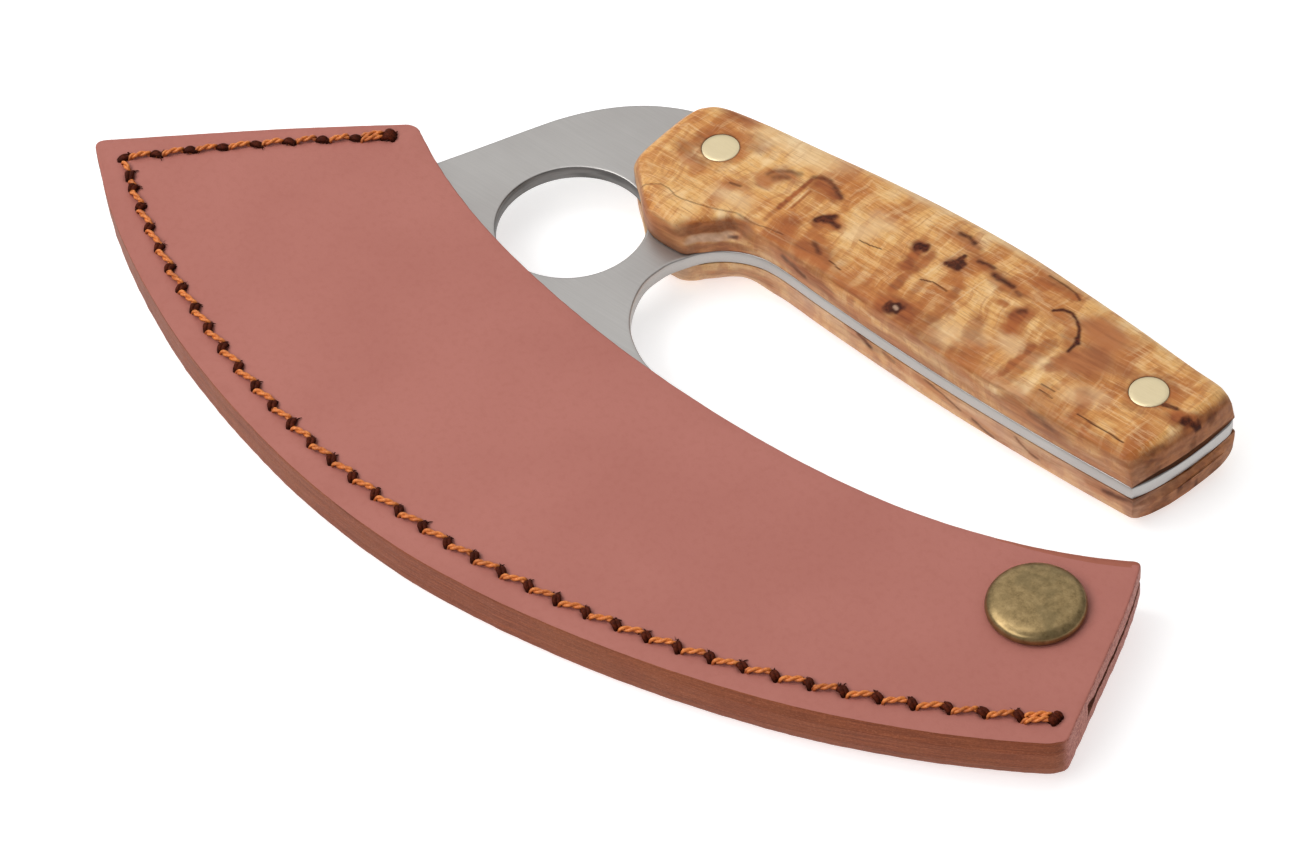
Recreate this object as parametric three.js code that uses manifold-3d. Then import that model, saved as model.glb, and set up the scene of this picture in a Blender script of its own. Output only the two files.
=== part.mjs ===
// Ulu knife lying in its stitched leather sheath.
// Millimetres, +Z up. Plan axes: +X along the handle (towards its rear end),
// +Y from the cutting edge towards the handle. The knife and the sheath share
// the mid-plane of the steel. The whole assembly leans a little about X, so
// that the sheath's rim and the handle's underside both touch the table.
import * as THREE from 'three';
import { mergeVertices } from 'three/addons/utils/BufferGeometryUtils.js';
import Module from 'manifold-3d';

const wasm = await Module();
wasm.setup();

// ---------------------------------------------------------------- dimensions
// rest pose on the table
const REST_TILT_DEG = 2.92;
const ORIGIN_SHIFT = [14.679, -11.57, 5.627];

// steel plate: blade and full tang in one
const STEEL_T = 2.5;
const ARC_CENTRE = [-17.6, 140.6];
const EDGE_R = 169.5;
const EDGE_TIP_X = [-85.9, 47.0];
const BEVEL_W = 9.0;
const EDGE_LAND = 0.3;
const FINGER_HOLE = { x: -42.2, y: 27.5, r: 12.4 };

// handle scales and pins
const GLUE_GAP = 0.1;
const SCALE_T = 6.1;
const PIN_XY = [[-29.95, 50.35], [55.8, 50.35]];
const PIN_R = 3.05;
const PIN_HOLE_R = 3.15;

// sheath
const SHEATH_R = 180.0;
// the hand-cut rim: angle about the arc's centre, distance from it
const RIM = [[-124, 178.5], [-121, 178.95], [-118.5, 179.45], [-115.5, 179.75], [-112, 179.95], [-108, 180.2], [-104, 180.3], [-100, 180.5], [-96, 180.8], [-92, 181.0], [-88, 181.0], [-84, 180.7], [-80, 180.5], [-76, 180.5], [-72, 180.7], [-68, 181.0], [-64, 181.1], [-60, 181.2], [-55, 181.1]];
const PANEL_T = 2.1;
const POCKET_T = 3.0;
const PLY_GAP = 0.06;
const WELT_W_ARC = 8.2;
const WELT_W_END = 5.2;
const FOLD_POINT = [84.0, -3.6];
const FOLD_DIR = [-0.97014, 0.24254];
const FOLD_GAP = 0.3;

// seam
const SEAM_CENTRE = [-16.28, 137.75];
const SEAM_R = 173.0;
const SEAM_CORNER_DEG = -122.3;
const SEAM_NEAR_CORNER_DEG = [-119.75, -120.75];
const SEAM_FIRST_DEG = -118.2;
const SEAM_STEP_DEG = 1.6919;
const SEAM_ARC_STITCHES = 37;
const SEAM_END_XY = [-77.43, 21.93];
const SEAM_END_STITCHES = 8;
const HOLE_LONG = 0.95;
const HOLE_SHORT = 0.75;
const THREAD_W = 1.0;
const THREAD_H = 0.6;
const LEG_R = 0.42;
const BACK_GROOVE_W = 1.5;
const BACK_GROOVE_D = 0.7;

// snap fastener
const SNAP_XY = [66.6, 9.5];
const CAP_R = 7.5;
const CAP_H = 2.6;
const SNAP_HOLE_R = 2.1;
const SHANK_R = 1.85;
const SOCKET_R = 5.4;
const SOCKET_BORE_R = 3.4;
const STUD_FLANGE_R = 4.6;
const STUD_HEAD_R = 2.4;
const POST_FLANGE_R = 4.5;

// derived levels
const HALF_STEEL = STEEL_T / 2;
const Z_IN = POCKET_T / 2;
const Z_OUT = POCKET_T / 2 + PANEL_T;
const Z_SCALE0 = HALF_STEEL + GLUE_GAP;
const Z_SCALE1 = HALF_STEEL + SCALE_T;

// ---------------------------------------------------------- outline curves
// edge of the gap between the blade and the handle, from the blade up to the tang
const GRIP_GAP = [[-8.0, 10.7], [-12.9, 12.1], [-16.1, 13.7], [-18.5, 15.4], [-20.3, 17.2], [-22.2, 20.0], [-23.6, 23.3], [-24.0, 25.4], [-23.9, 27.6], [-23.5, 29.9], [-22.5, 32.2], [-20.9, 35.0], [-18.5, 37.4], [-15.4, 39.15], [-12.6, 39.95], [-9.8, 40.1], [-6.5, 39.9], [-2.5, 39.5]];
const UNDERSIDE = [[2.2, 39.1], [7.1, 38.75], [12.1, 38.4], [23.1, 37.8], [33.0, 37.5], [42.4, 37.4], [51.7, 37.45], [61.7, 37.65]];
const REAR_END = [[62.45, 37.75], [63.6, 40.6], [64.6, 44.2], [65.35, 48.0], [65.85, 52.0], [66.1, 55.0], [66.1, 57.3], [65.4, 58.8], [63.8, 59.55]];
const FAR_EDGE = [[57, 60.0], [47, 61.3], [34, 62.6], [23, 63.5], [8, 63.55], [-6, 62.7], [-17, 61.65], [-28.5, 60.6], [-37, 59.5]];
const BLADE_BACK = [[-42.9, 58.7], [-45.6, 57.75], [-50.0, 55.3], [-53.8, 52.1], [-57.1, 48.2], [-59.85, 43.85], [-62.1, 39.1], [-64.25, 34.2], [-66.35, 29.4], [-68.55, 24.5]];
// upper edge of the blade's right half, inside the sheath
const BLADE_INNER = [[40.0, -9.6], [30.0, -3.0], [20.0, 1.6], [10.0, 5.2], [0.0, 8.2]];
// near edge of the scales in front of the grip gap: it follows the finger hole
const SCALE_NOSE = [[-40.9, 41.2], [-39.5, 40.0], [-37.0, 38.15], [-34.7, 36.2], [-33.0, 34.75], [-31.5, 33.75], [-30.0, 33.1], [-28.4, 32.8], [-26.4, 32.75], [-24.6, 32.8], [-23.5, 32.9], [-22.6, 33.25], [-21.8, 34.15]];
const SCALE_FAR_FRONT = [[-40.9, 54.4], [-40.2, 56.2], [-38.7, 57.9], [-36.6, 59.2]];

const mouthY = (x) => {
  const t = x / 50;
  return 1.208 * t ** 4 + 0.74 * t ** 3 + 5.134 * t ** 2 - 1.538 * t + 9.45 - 0.5 * THREE.MathUtils.clamp(-(x + 40) / 35, 0, 1);
};
const rightX = (y) => 82.95 - 0.332 * y - 0.0055 * Math.max(0, y - 12) ** 2;
const LEFT_END = [[-115.7, -8.5], [-113.2, -6.2], [-106.85, -0.32], [-99.4, 6.53], [-91.95, 13.33], [-84.2, 19.98], [-75.75, 27.0]];

// ------------------------------------------------------------------ helpers
const rad = (d) => (d * Math.PI) / 180;
const onArc = (c, r, deg) => [c[0] + r * Math.cos(rad(deg)), c[1] + r * Math.sin(rad(deg))];
function arcPoints(c, r, d0, d1, n) {
  return Array.from({ length: n + 1 }, (_, i) => onArc(c, r, d0 + ((d1 - d0) * i) / n));
}
const degAt = (c, p) => (Math.atan2(p[1] - c[1], p[0] - c[0]) * 180) / Math.PI;
const arcYBelow = (c, r, x) => c[1] - Math.sqrt(r * r - (x - c[0]) ** 2);

// smooth curve through points, sampled at even steps
function through(pts, n) {
  const c = new THREE.CatmullRomCurve3(pts.map((p) => new THREE.Vector3(p[0], p[1], 0)), false, 'centripetal');
  return c.getSpacedPoints(n).map((v) => [v.x, v.y]);
}

// rounds the corner at index i of a closed outline, cutting back by d
function roundCorner(poly, corner, d, n) {
  let i = 0;
  let best = Infinity;
  poly.forEach((p, k) => {
    const e = Math.hypot(p[0] - corner[0], p[1] - corner[1]);
    if (e < best) { best = e; i = k; }
  });
  const N = poly.length;
  const walk = (dir) => {
    let left = d;
    let k = i;
    for (;;) {
      const a = poly[(k + N) % N];
      const b = poly[(k + dir + N) % N];
      const l = Math.hypot(b[0] - a[0], b[1] - a[1]);
      if (l > left) return { p: [a[0] + ((b[0] - a[0]) * left) / l, a[1] + ((b[1] - a[1]) * left) / l], k: k + dir };
      left -= l;
      k += dir;
    }
  };
  const back = walk(-1);
  const fore = walk(1);
  const out = [];
  for (let k = fore.k; k <= back.k + N; k++) out.push(poly[((k % N) + N) % N]);
  const c = poly[i];
  for (let s = 0; s <= n; s++) {
    const t = s / n;
    out.push([
      (1 - t) ** 2 * back.p[0] + 2 * t * (1 - t) * c[0] + t * t * fore.p[0],
      (1 - t) ** 2 * back.p[1] + 2 * t * (1 - t) * c[1] + t * t * fore.p[1],
    ]);
  }
  return out;
}

const area2 = (poly) => poly.reduce((s, p, i) => {
  const q = poly[(i + 1) % poly.length];
  return s + p[0] * q[1] - q[0] * p[1];
}, 0);
const ccw = (poly) => (area2(poly) < 0 ? [...poly].reverse() : poly);

// closed outline moved inwards by a distance per point
function inset(poly, dist) {
  const N = poly.length;
  return poly.map((p, i) => {
    const a = poly[(i - 1 + N) % N];
    const b = poly[(i + 1) % N];
    const u = new THREE.Vector2(p[0] - a[0], p[1] - a[1]).normalize();
    const v = new THREE.Vector2(b[0] - p[0], b[1] - p[1]).normalize();
    const n = new THREE.Vector2(-u.y - v.y, u.x + v.x).normalize();
    const k = Math.max(0.6, n.x * -u.y + n.y * u.x);
    const d = (typeof dist === 'function' ? dist(p, i) : dist) / k;
    return [p[0] + n.x * d, p[1] + n.y * d];
  });
}

function geometryOf(points, triangles) {
  const g = new THREE.BufferGeometry();
  g.setAttribute('position', new THREE.Float32BufferAttribute(points.flat(), 3));
  g.setIndex(triangles.flat());
  return g;
}

// plate built from stacked outlines with the same number of points, with straight holes
function plate(layers, holes = []) {
  const pts = [];
  const tri = [];
  const N = layers[0].outline.length;
  layers.forEach((l) => l.outline.forEach((p) => pts.push([p[0], p[1], l.z])));
  for (let k = 0; k + 1 < layers.length; k++) {
    for (let i = 0; i < N; i++) {
      const a = k * N + i;
      const b = k * N + ((i + 1) % N);
      tri.push([a, b, b + N], [a, b + N, a + N]);
    }
  }
  const z0 = layers[0].z;
  const z1 = layers[layers.length - 1].z;
  const topBase = (layers.length - 1) * N;
  const holeBase = [];
  const cw = holes.map((h) => [...ccw(h)].reverse());
  cw.forEach((h) => {
    const b = pts.length;
    holeBase.push(b);
    h.forEach((p) => pts.push([p[0], p[1], z0]));
    h.forEach((p) => pts.push([p[0], p[1], z1]));
    for (let i = 0; i < h.length; i++) {
      const j = (i + 1) % h.length;
      tri.push([b + i, b + j, b + h.length + j], [b + i, b + h.length + j, b + h.length + i]);
    }
  });
  const V = (poly) => poly.map((p) => new THREE.Vector2(p[0], p[1]));
  const cap = (outline, base, top) => {
    const map = outline.map((_, i) => base + i);
    cw.forEach((h, k) => h.forEach((_, i) => map.push(holeBase[k] + (top ? h.length : 0) + i)));
    const faces = THREE.ShapeUtils.triangulateShape(V(outline), cw.map(V)).map((f) => f.map((i) => map[i]));
    const signed = faces.reduce((s, t) => {
      const [a, b, c] = t.map((i) => pts[i]);
      return s + (b[0] - a[0]) * (c[1] - a[1]) - (b[1] - a[1]) * (c[0] - a[0]);
    }, 0);
    faces.forEach((t) => tri.push(signed > 0 === top ? t : [t[0], t[2], t[1]]));
  };
  cap(layers[0].outline, 0, false);
  cap(layers[layers.length - 1].outline, topBase, true);
  return geometryOf(pts, tri);
}

// solid lofted through sections that each hold the same number of points
function loft(sections) {
  const pts = sections.flat();
  const M = sections[0].length;
  const tri = [];
  for (let k = 0; k + 1 < sections.length; k++) {
    for (let i = 0; i < M; i++) {
      const a = k * M + i;
      const b = k * M + ((i + 1) % M);
      tri.push([a, b, b + M], [a, b + M, a + M]);
    }
  }
  for (let i = 1; i + 1 < M; i++) {
    tri.push([0, i + 1, i]);
    const e = (sections.length - 1) * M;
    tri.push([e, e + i, e + i + 1]);
  }
  return geometryOf(pts, tri);
}

// solids for cutting and joining
function solid(geometry) {
  const g = new THREE.BufferGeometry();
  g.setAttribute('position', (geometry.index ? geometry.toNonIndexed() : geometry).getAttribute('position').clone());
  const m = mergeVertices(g, 1e-4);
  const s = new wasm.Manifold(new wasm.Mesh({ numProp: 3, vertProperties: m.attributes.position.array, triVerts: new Uint32Array(m.index.array) }));
  if (s.volume() > 0) return s;
  const t = new Uint32Array(m.index.array);
  for (let i = 0; i < t.length; i += 3) [t[i + 1], t[i + 2]] = [t[i + 2], t[i + 1]];
  return new wasm.Manifold(new wasm.Mesh({ numProp: 3, vertProperties: m.attributes.position.array, triVerts: t }));
}
function shape(s) {
  const m = s.getMesh();
  const g = new THREE.BufferGeometry();
  g.setAttribute('position', new THREE.BufferAttribute(new Float32Array(m.vertProperties), 3));
  g.setIndex(new THREE.BufferAttribute(new Uint32Array(m.triVerts), 1));
  return g;
}
const column = (x, y, z0, z1, r, n) => new THREE.CylinderGeometry(r, r, z1 - z0, n).rotateX(Math.PI / 2).translate(x, y, (z0 + z1) / 2);
const circle = (x, y, r, n) => Array.from({ length: n }, (_, i) => [x + r * Math.cos((2 * Math.PI * i) / n), y + r * Math.sin((2 * Math.PI * i) / n)]);
// turned piece on a vertical axis: profile of [radius, height] from the bottom up
function turned(profile, x, y, n) {
  return new THREE.LatheGeometry(profile.map((p) => new THREE.Vector2(p[0], p[1])), n).rotateX(Math.PI / 2).translate(x, y, 0);
}
// table lookup along X
function lookup(table) {
  const t = [...table].sort((a, b) => a[0] - b[0]);
  return (x) => {
    if (x <= t[0][0]) return t[0][1];
    for (let i = 0; i + 1 < t.length; i++) {
      if (x <= t[i + 1][0]) return t[i][1] + ((t[i + 1][1] - t[i][1]) * (x - t[i][0])) / (t[i + 1][0] - t[i][0]);
    }
    return t[t.length - 1][1];
  };
}

// ------------------------------------------------------------ steel plate
const tipL = [EDGE_TIP_X[0], arcYBelow(ARC_CENTRE, EDGE_R, EDGE_TIP_X[0])];
const tipR = [EDGE_TIP_X[1], arcYBelow(ARC_CENTRE, EDGE_R, EDGE_TIP_X[1])];
const edgeArc = arcPoints(ARC_CENTRE, EDGE_R, degAt(ARC_CENTRE, tipL), degAt(ARC_CENTRE, tipR), 32);
const bladeRest = [
  ...through([tipR, ...BLADE_INNER, ...GRIP_GAP], 48).slice(1),
  ...UNDERSIDE,
  ...REAR_END,
  ...FAR_EDGE,
  ...through([...BLADE_BACK, tipL], 20).slice(0, -1),
];
const bladeOutline = [...edgeArc, ...bladeRest];
const bevelAt = (i) => {
  if (i >= edgeArc.length) return 0;
  const p = edgeArc[i];
  const fromL = Math.hypot(p[0] - tipL[0], p[1] - tipL[1]);
  const fromR = Math.hypot(p[0] - tipR[0], p[1] - tipR[1]);
  return Math.min(BEVEL_W, 0.3 * fromL, 0.3 * fromR);
};
const bladeFlat = bladeOutline.map((p, i) => {
  const d = bevelAt(i);
  if (!d) return p;
  const v = [ARC_CENTRE[0] - p[0], ARC_CENTRE[1] - p[1]];
  const l = Math.hypot(...v);
  return [p[0] + (v[0] * d) / l, p[1] + (v[1] * d) / l];
});
const bladeGeometry = plate(
  [
    { z: -HALF_STEEL, outline: bladeFlat },
    { z: -EDGE_LAND / 2, outline: bladeOutline },
    { z: EDGE_LAND / 2, outline: bladeOutline },
    { z: HALF_STEEL, outline: bladeFlat },
  ],
  [circle(FINGER_HOLE.x, FINGER_HOLE.y, FINGER_HOLE.r, 40), ...PIN_XY.map((p) => circle(p[0], p[1], PIN_HOLE_R, 20))],
);

// ---------------------------------------------------------- handle scales
const nearY = lookup([...SCALE_NOSE, ...GRIP_GAP.slice(11), ...UNDERSIDE, [62.5, 37.65], [70, 37.65]]);
const farY = lookup([...SCALE_FAR_FRONT, ...FAR_EDGE.slice(0, -1), [62, 59.4], [64.3, 58.4], [70, 58.4]]);
// stations along the handle with the share of the full height there; the upper scale falls away at its rear end
const SCALE_STATIONS = [
  [-40.9, 0.6], [-40.3, 0.78], [-39.3, 0.93], [-37.6, 1], [-36.0, 1], [-34.2, 1], [-32.0, 1], [-30.4, 1], [-29.0, 1], [-26.8, 1], [-24.8, 1], [-23.5, 1], [-22.6, 1],
  [-21.8, 1], [-20.9, 1], [-19.7, 1], [-18.5, 1], [-17.0, 1], [-15.4, 1], [-12.6, 1], [-6.5, 1], [2.2, 1], [12.1, 1], [23.1, 1], [33, 1], [42.4, 1], [51.7, 1], [58, 1], [61.8, 1],
];
const REAR_STATIONS = { 1: [[63.0, 0.9], [63.75, 0.74], [64.3, 0.2]], [-1]: [[63.6, 0.97], [64.3, 0.88], [64.5, 0.4]] };
// bow of the rear end across the handle
const rearBow = lookup([[37.65, -1.86], [40.6, -0.7], [44.2, 0.35], [48, 1.05], [52, 1.55], [55, 1.8], [58, 1.8], [59.8, 1.0]]);
// half-sections of a scale: how far it stands in from its edge at each share of its height
const STEEP = [[0, 0], [0, 0.5], [0.2, 0.75], [0.6, 0.9], [1.6, 0.98], [3.0, 1]];
const NOSE_TIP = [[0, 0], [0.1, 0.3], [0.35, 0.58], [0.8, 0.8], [2.0, 0.95], [4.0, 1]];
const SCOOP = [[0, 0], [0.2, 0.34], [1.5, 0.46], [2.4, 0.78], [3.2, 0.94], [5.2, 1]];
const FAR_SECTION = [[0, 0], [0, 0.35], [0.35, 0.68], [1.1, 0.88], [2.4, 0.97], [4.0, 1]];
const NEAR_SECTIONS = [[-41, STEEP], [-30, STEEP], [-25.5, NOSE_TIP], [-21.8, SCOOP], [-18.5, SCOOP], [-12.5, STEEP], [70, STEEP]];
const nearSection = (x) => STEEP.map((_, k) => [0, 1].map((c) => lookup(NEAR_SECTIONS.map(([at, sec]) => [at, sec[k][c]]))(x)));
function scaleGeometry(side) {
  const h = Z_SCALE1 - Z_SCALE0;
  const sections = [...SCALE_STATIONS, ...REAR_STATIONS[side]].map(([x, share]) => {
    const n = nearY(x);
    const f = farY(x);
    const bow = THREE.MathUtils.clamp((x - 50) / 13, 0, 1);
    const at = (y, z) => [x + bow * rearBow(y), y, side * (Z_SCALE0 + z * h * share)];
    const near = nearSection(x).map(([d, z]) => at(n + d, z));
    const far = [...FAR_SECTION].reverse().map(([d, z]) => at(f - d, z));
    const across = (z, order) => order.map((t) => at(n + (f - n) * t, z));
    return [...near, ...across(1, [0.4, 0.62]), ...far, ...across(0, [0.62, 0.4])];
  });
  let s = solid(loft(sections));
  PIN_XY.forEach((p) => {
    s = s.subtract(solid(column(p[0], p[1], -20, 20, PIN_HOLE_R, 20)));
  });
  return shape(s);
}
const pinGeometry = (p) => column(p[0], p[1], -Z_SCALE1, Z_SCALE1, PIN_R, 24);

// ------------------------------------------------------------------ sheath
const leftEnd = LEFT_END;
const cornerLO = leftEnd[0];
const cornerLI = leftEnd[leftEnd.length - 1];
const cornerRI = [73.9, 0];
for (let k = 0; k < 30; k++) { cornerRI[1] = mouthY(cornerRI[0]); cornerRI[0] = rightX(cornerRI[1]); }
const cornerRO = [85.75, -7.8];
const cornerLODeg = degAt(ARC_CENTRE, cornerLO);
const cornerRODeg = degAt(ARC_CENTRE, cornerRO);
const rimR = lookup(RIM);
const rimArc = Array.from({ length: 37 }, (_, i) => {
  const deg = cornerLODeg + ((cornerRODeg - cornerLODeg) * i) / 36;
  return onArc(ARC_CENTRE, rimR(deg), deg);
});
const mouth = (x0, x1, n) => Array.from({ length: n + 1 }, (_, i) => {
  const x = x0 + ((x1 - x0) * i) / n;
  return [x, mouthY(x)];
});
const leftUp = through(leftEnd, 8);
// whole outline, counter-clockwise: rim, right end, mouth, left end
function panelOutline(rightPart) {
  let o = [...rimArc, ...rightPart, ...[...leftUp].reverse().slice(0, -1)];
  o = roundCorner(o, cornerLO, 3.2, 4);
  o = roundCorner(o, cornerLI, 2.8, 4);
  o = roundCorner(o, cornerRO, 3.0, 3);
  return ccw(o);
}
const foldN = [FOLD_DIR[1], -FOLD_DIR[0]]; // points into the flap
const foldSide = (p) => (p[0] - FOLD_POINT[0]) * foldN[0] + (p[1] - FOLD_POINT[1]) * foldN[1];
// where a curve crosses the line at a given distance from the fold
function crossFold(curve, a, b, d) {
  let lo = a;
  let hi = b;
  for (let k = 0; k < 60; k++) {
    const m = (lo + hi) / 2;
    if ((foldSide(curve(m)) - d) * (foldSide(curve(lo)) - d) > 0) lo = m; else hi = m;
  }
  return curve(lo);
}
const mouthAt = (x) => [x, mouthY(x)];
const rightAt = (y) => [rightX(y), y];
const fixedMouth = crossFold(mouthAt, 15, 40, -FOLD_GAP / 2);
const fixedRight = crossFold(rightAt, -7, 3, -FOLD_GAP / 2);
const flapMouth = crossFold(mouthAt, 15, 40, FOLD_GAP / 2);
const flapRight = crossFold(rightAt, -7, 3, FOLD_GAP / 2);

const rightUp = [-2, 4, 10, 15, 20].map(rightAt);
const backOutline = ccw(roundCorner(panelOutline([...rightUp, cornerRI, ...mouth(cornerRI[0], cornerLI[0], 26).slice(1, -1)]), cornerRI, 1.6, 3));
const frontOutline = ccw(panelOutline([fixedRight, fixedMouth, ...mouth(fixedMouth[0], cornerLI[0], 18).slice(1, -1)]));
const flapOutline = ccw(roundCorner([flapRight, ...rightUp.slice(1), cornerRI, ...mouth(cornerRI[0], flapMouth[0], 10).slice(1)], cornerRI, 1.2, 3));
const awayFromFold = (d) => (p) => (Math.abs(foldSide(p)) < FOLD_GAP ? 0 : d);

// seam holes, from the right end along the rim to the left corner, then up the left end
const seam = [];
for (let k = SEAM_ARC_STITCHES; k >= 0; k--) seam.push(onArc(SEAM_CENTRE, SEAM_R, SEAM_FIRST_DEG + k * SEAM_STEP_DEG));
for (const deg of SEAM_NEAR_CORNER_DEG) seam.push(onArc(SEAM_CENTRE, SEAM_R, deg));
const seamCorner = onArc(SEAM_CENTRE, SEAM_R, SEAM_CORNER_DEG);
seam.push(seamCorner);
for (let k = 1; k <= SEAM_END_STITCHES; k++) {
  const t = k / SEAM_END_STITCHES;
  const bow = 0.7 * Math.sin(Math.PI * t);
  seam.push([
    seamCorner[0] + (SEAM_END_XY[0] - seamCorner[0]) * t - 0.69 * bow,
    seamCorner[1] + (SEAM_END_XY[1] - seamCorner[1]) * t + 0.72 * bow,
  ]);
}
const seamDir = (i) => {
  const a = seam[Math.max(0, i - 1)];
  const b = seam[Math.min(seam.length - 1, i + 1)];
  const l = Math.hypot(b[0] - a[0], b[1] - a[1]);
  return [(b[0] - a[0]) / l, (b[1] - a[1]) / l];
};
// each hole is a slanted diamond
const stitchHoles = seam.map((p, i) => {
  const d = seamDir(i);
  const a = Math.atan2(d[1], d[0]) + rad(40);
  const u = [Math.cos(a), Math.sin(a)];
  return [
    [p[0] + u[0] * HOLE_LONG, p[1] + u[1] * HOLE_LONG],
    [p[0] - u[1] * HOLE_SHORT, p[1] + u[0] * HOLE_SHORT],
    [p[0] - u[0] * HOLE_LONG, p[1] - u[1] * HOLE_LONG],
    [p[0] + u[1] * HOLE_SHORT, p[1] - u[0] * HOLE_SHORT],
  ];
});
const snapHole = circle(SNAP_XY[0], SNAP_XY[1], SNAP_HOLE_R, 16);

// a run of flat-sided cord along the seam at one height
function seamRun(w, z0, z1, over) {
  const first = seamDir(0);
  const last = seamDir(seam.length - 1);
  const path = [
    [seam[0][0] - first[0] * over, seam[0][1] - first[1] * over],
    ...seam.slice(1, -1),
    [seam[seam.length - 1][0] + last[0] * over, seam[seam.length - 1][1] + last[1] * over],
  ];
  return loft(path.map((p, i) => {
    const d = i === 0 ? first : i === path.length - 1 ? last : seamDir(i);
    const n = [-d[1], d[0]];
    const m = (z0 + z1) / 2;
    const at = (s, z) => [p[0] + n[0] * s, p[1] + n[1] * s, z];
    return [at(-w / 2, m), at(-w / 4, z0), at(w / 4, z0), at(w / 2, m), at(w / 4, z1), at(-w / 4, z1)];
  }));
}
const seamTrench = (w, z0, z1, over) => {
  const first = seamDir(0);
  const last = seamDir(seam.length - 1);
  const path = [
    [seam[0][0] - first[0] * over, seam[0][1] - first[1] * over],
    ...seam.slice(1, -1),
    [seam[seam.length - 1][0] + last[0] * over, seam[seam.length - 1][1] + last[1] * over],
  ];
  return loft(path.map((p, i) => {
    const d = i === 0 ? first : i === path.length - 1 ? last : seamDir(i);
    const n = [-d[1], d[0]];
    return [[p[0] - n[0] * w / 2, p[1] - n[1] * w / 2, z0], [p[0] + n[0] * w / 2, p[1] + n[1] * w / 2, z0], [p[0] + n[0] * w / 2, p[1] + n[1] * w / 2, z1], [p[0] - n[0] * w / 2, p[1] - n[1] * w / 2, z1]];
  }));
};
function threadGeometry(z0, z1, legTo) {
  let s = solid(seamRun(THREAD_W, z0, z1, 0.5));
  const m = (z0 + z1) / 2;
  seam.forEach((p) => {
    s = s.add(solid(column(p[0], p[1], Math.min(m, legTo), Math.max(m, legTo), LEG_R, 4)));
  });
  return shape(s);
}

const frontGeometry = plate(
  [
    { z: Z_IN, outline: frontOutline },
    { z: Z_OUT - 0.5, outline: frontOutline },
    { z: Z_OUT - 0.12, outline: inset(frontOutline, awayFromFold(0.2)) },
    { z: Z_OUT, outline: inset(frontOutline, awayFromFold(0.6)) },
  ],
  stitchHoles,
);
const flapGeometry = plate(
  [
    { z: Z_IN, outline: flapOutline },
    { z: Z_OUT - 0.5, outline: flapOutline },
    { z: Z_OUT - 0.12, outline: inset(flapOutline, awayFromFold(0.2)) },
    { z: Z_OUT, outline: inset(flapOutline, awayFromFold(0.6)) },
  ],
  [snapHole],
);
const backPlain = plate(
  [
    { z: -Z_OUT, outline: inset(backOutline, 0.5) },
    { z: -Z_OUT + 0.4, outline: backOutline },
    { z: -Z_IN, outline: backOutline },
  ],
  [...stitchHoles, snapHole],
);
const backGeometry = shape(solid(backPlain).subtract(solid(seamTrench(BACK_GROOVE_W, -Z_OUT - 0.5, -Z_OUT + BACK_GROOVE_D, 1.2))));

// spacer strip between the panels along the rim and the left end
const weltInnerR = SHEATH_R - WELT_W_ARC;
const weltStop = [82.5, 1.0];
for (let k = 0; k < 40; k++) { weltStop[1] = arcYBelow(ARC_CENTRE, weltInnerR, weltStop[0]); weltStop[0] = rightX(weltStop[1]); }
const endDir = [cornerLI[0] - cornerLO[0], cornerLI[1] - cornerLO[1]];
const endLen = Math.hypot(...endDir);
const weltEndInner = leftUp.map((p) => [p[0] + (endDir[1] / endLen) * WELT_W_END, p[1] - (endDir[0] / endLen) * WELT_W_END]);
const weltEndInside = weltEndInner.filter((p) => Math.hypot(p[0] - ARC_CENTRE[0], p[1] - ARC_CENTRE[1]) < weltInnerR - 4);
const weltTopX = weltEndInner[weltEndInner.length - 1][0] + 1.2;
let weltOutline = [
  ...rimArc,
  ...arcPoints(ARC_CENTRE, weltInnerR, degAt(ARC_CENTRE, weltStop), degAt(ARC_CENTRE, weltEndInside[0]) + 3.2, 26),
  ...weltEndInside.slice(0, -1),
  [weltTopX, mouthY(weltTopX)],
  ...[...leftUp].reverse().slice(0, -1),
];
weltOutline = roundCorner(weltOutline, cornerLO, 3.2, 4);
weltOutline = roundCorner(weltOutline, cornerLI, 2.8, 4);
weltOutline = ccw(roundCorner(weltOutline, cornerRO, 3.0, 3));
const weltGeometry = plate(
  [
    { z: -Z_IN + PLY_GAP, outline: weltOutline },
    { z: Z_IN - PLY_GAP, outline: weltOutline },
  ],
  stitchHoles,
);

// -------------------------------------------------------------------- snap
const [sx, sy] = SNAP_XY;
const capGeometry = turned([
  [0, 0.55], [2.7, 0.55], [2.7, 0.95], [SHANK_R, 0.95], [SHANK_R, Z_OUT + 0.9], [CAP_R - 1.2, Z_OUT + 0.9], [CAP_R - 0.9, Z_OUT + PLY_GAP],
  [CAP_R - 0.2, Z_OUT + PLY_GAP], [CAP_R, Z_OUT + 0.4], [CAP_R - 0.1, Z_OUT + 0.9], [CAP_R - 1.0, Z_OUT + 1.6], [CAP_R - 3.0, Z_OUT + 2.2], [CAP_R - 5.2, Z_OUT + CAP_H - 0.1], [0, Z_OUT + CAP_H],
], sx, sy, 28);
const socketGeometry = turned([
  [2.0, 1.02], [SOCKET_BORE_R, 1.02], [SOCKET_BORE_R, -0.6], [SOCKET_BORE_R + 0.3, -0.9], [SOCKET_R - 0.3, -0.9], [SOCKET_R, -0.6], [SOCKET_R, 1.1], [SOCKET_R - 0.3, Z_IN - PLY_GAP], [2.0, Z_IN - PLY_GAP], [2.0, 1.02],
], sx, sy, 24);
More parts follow.
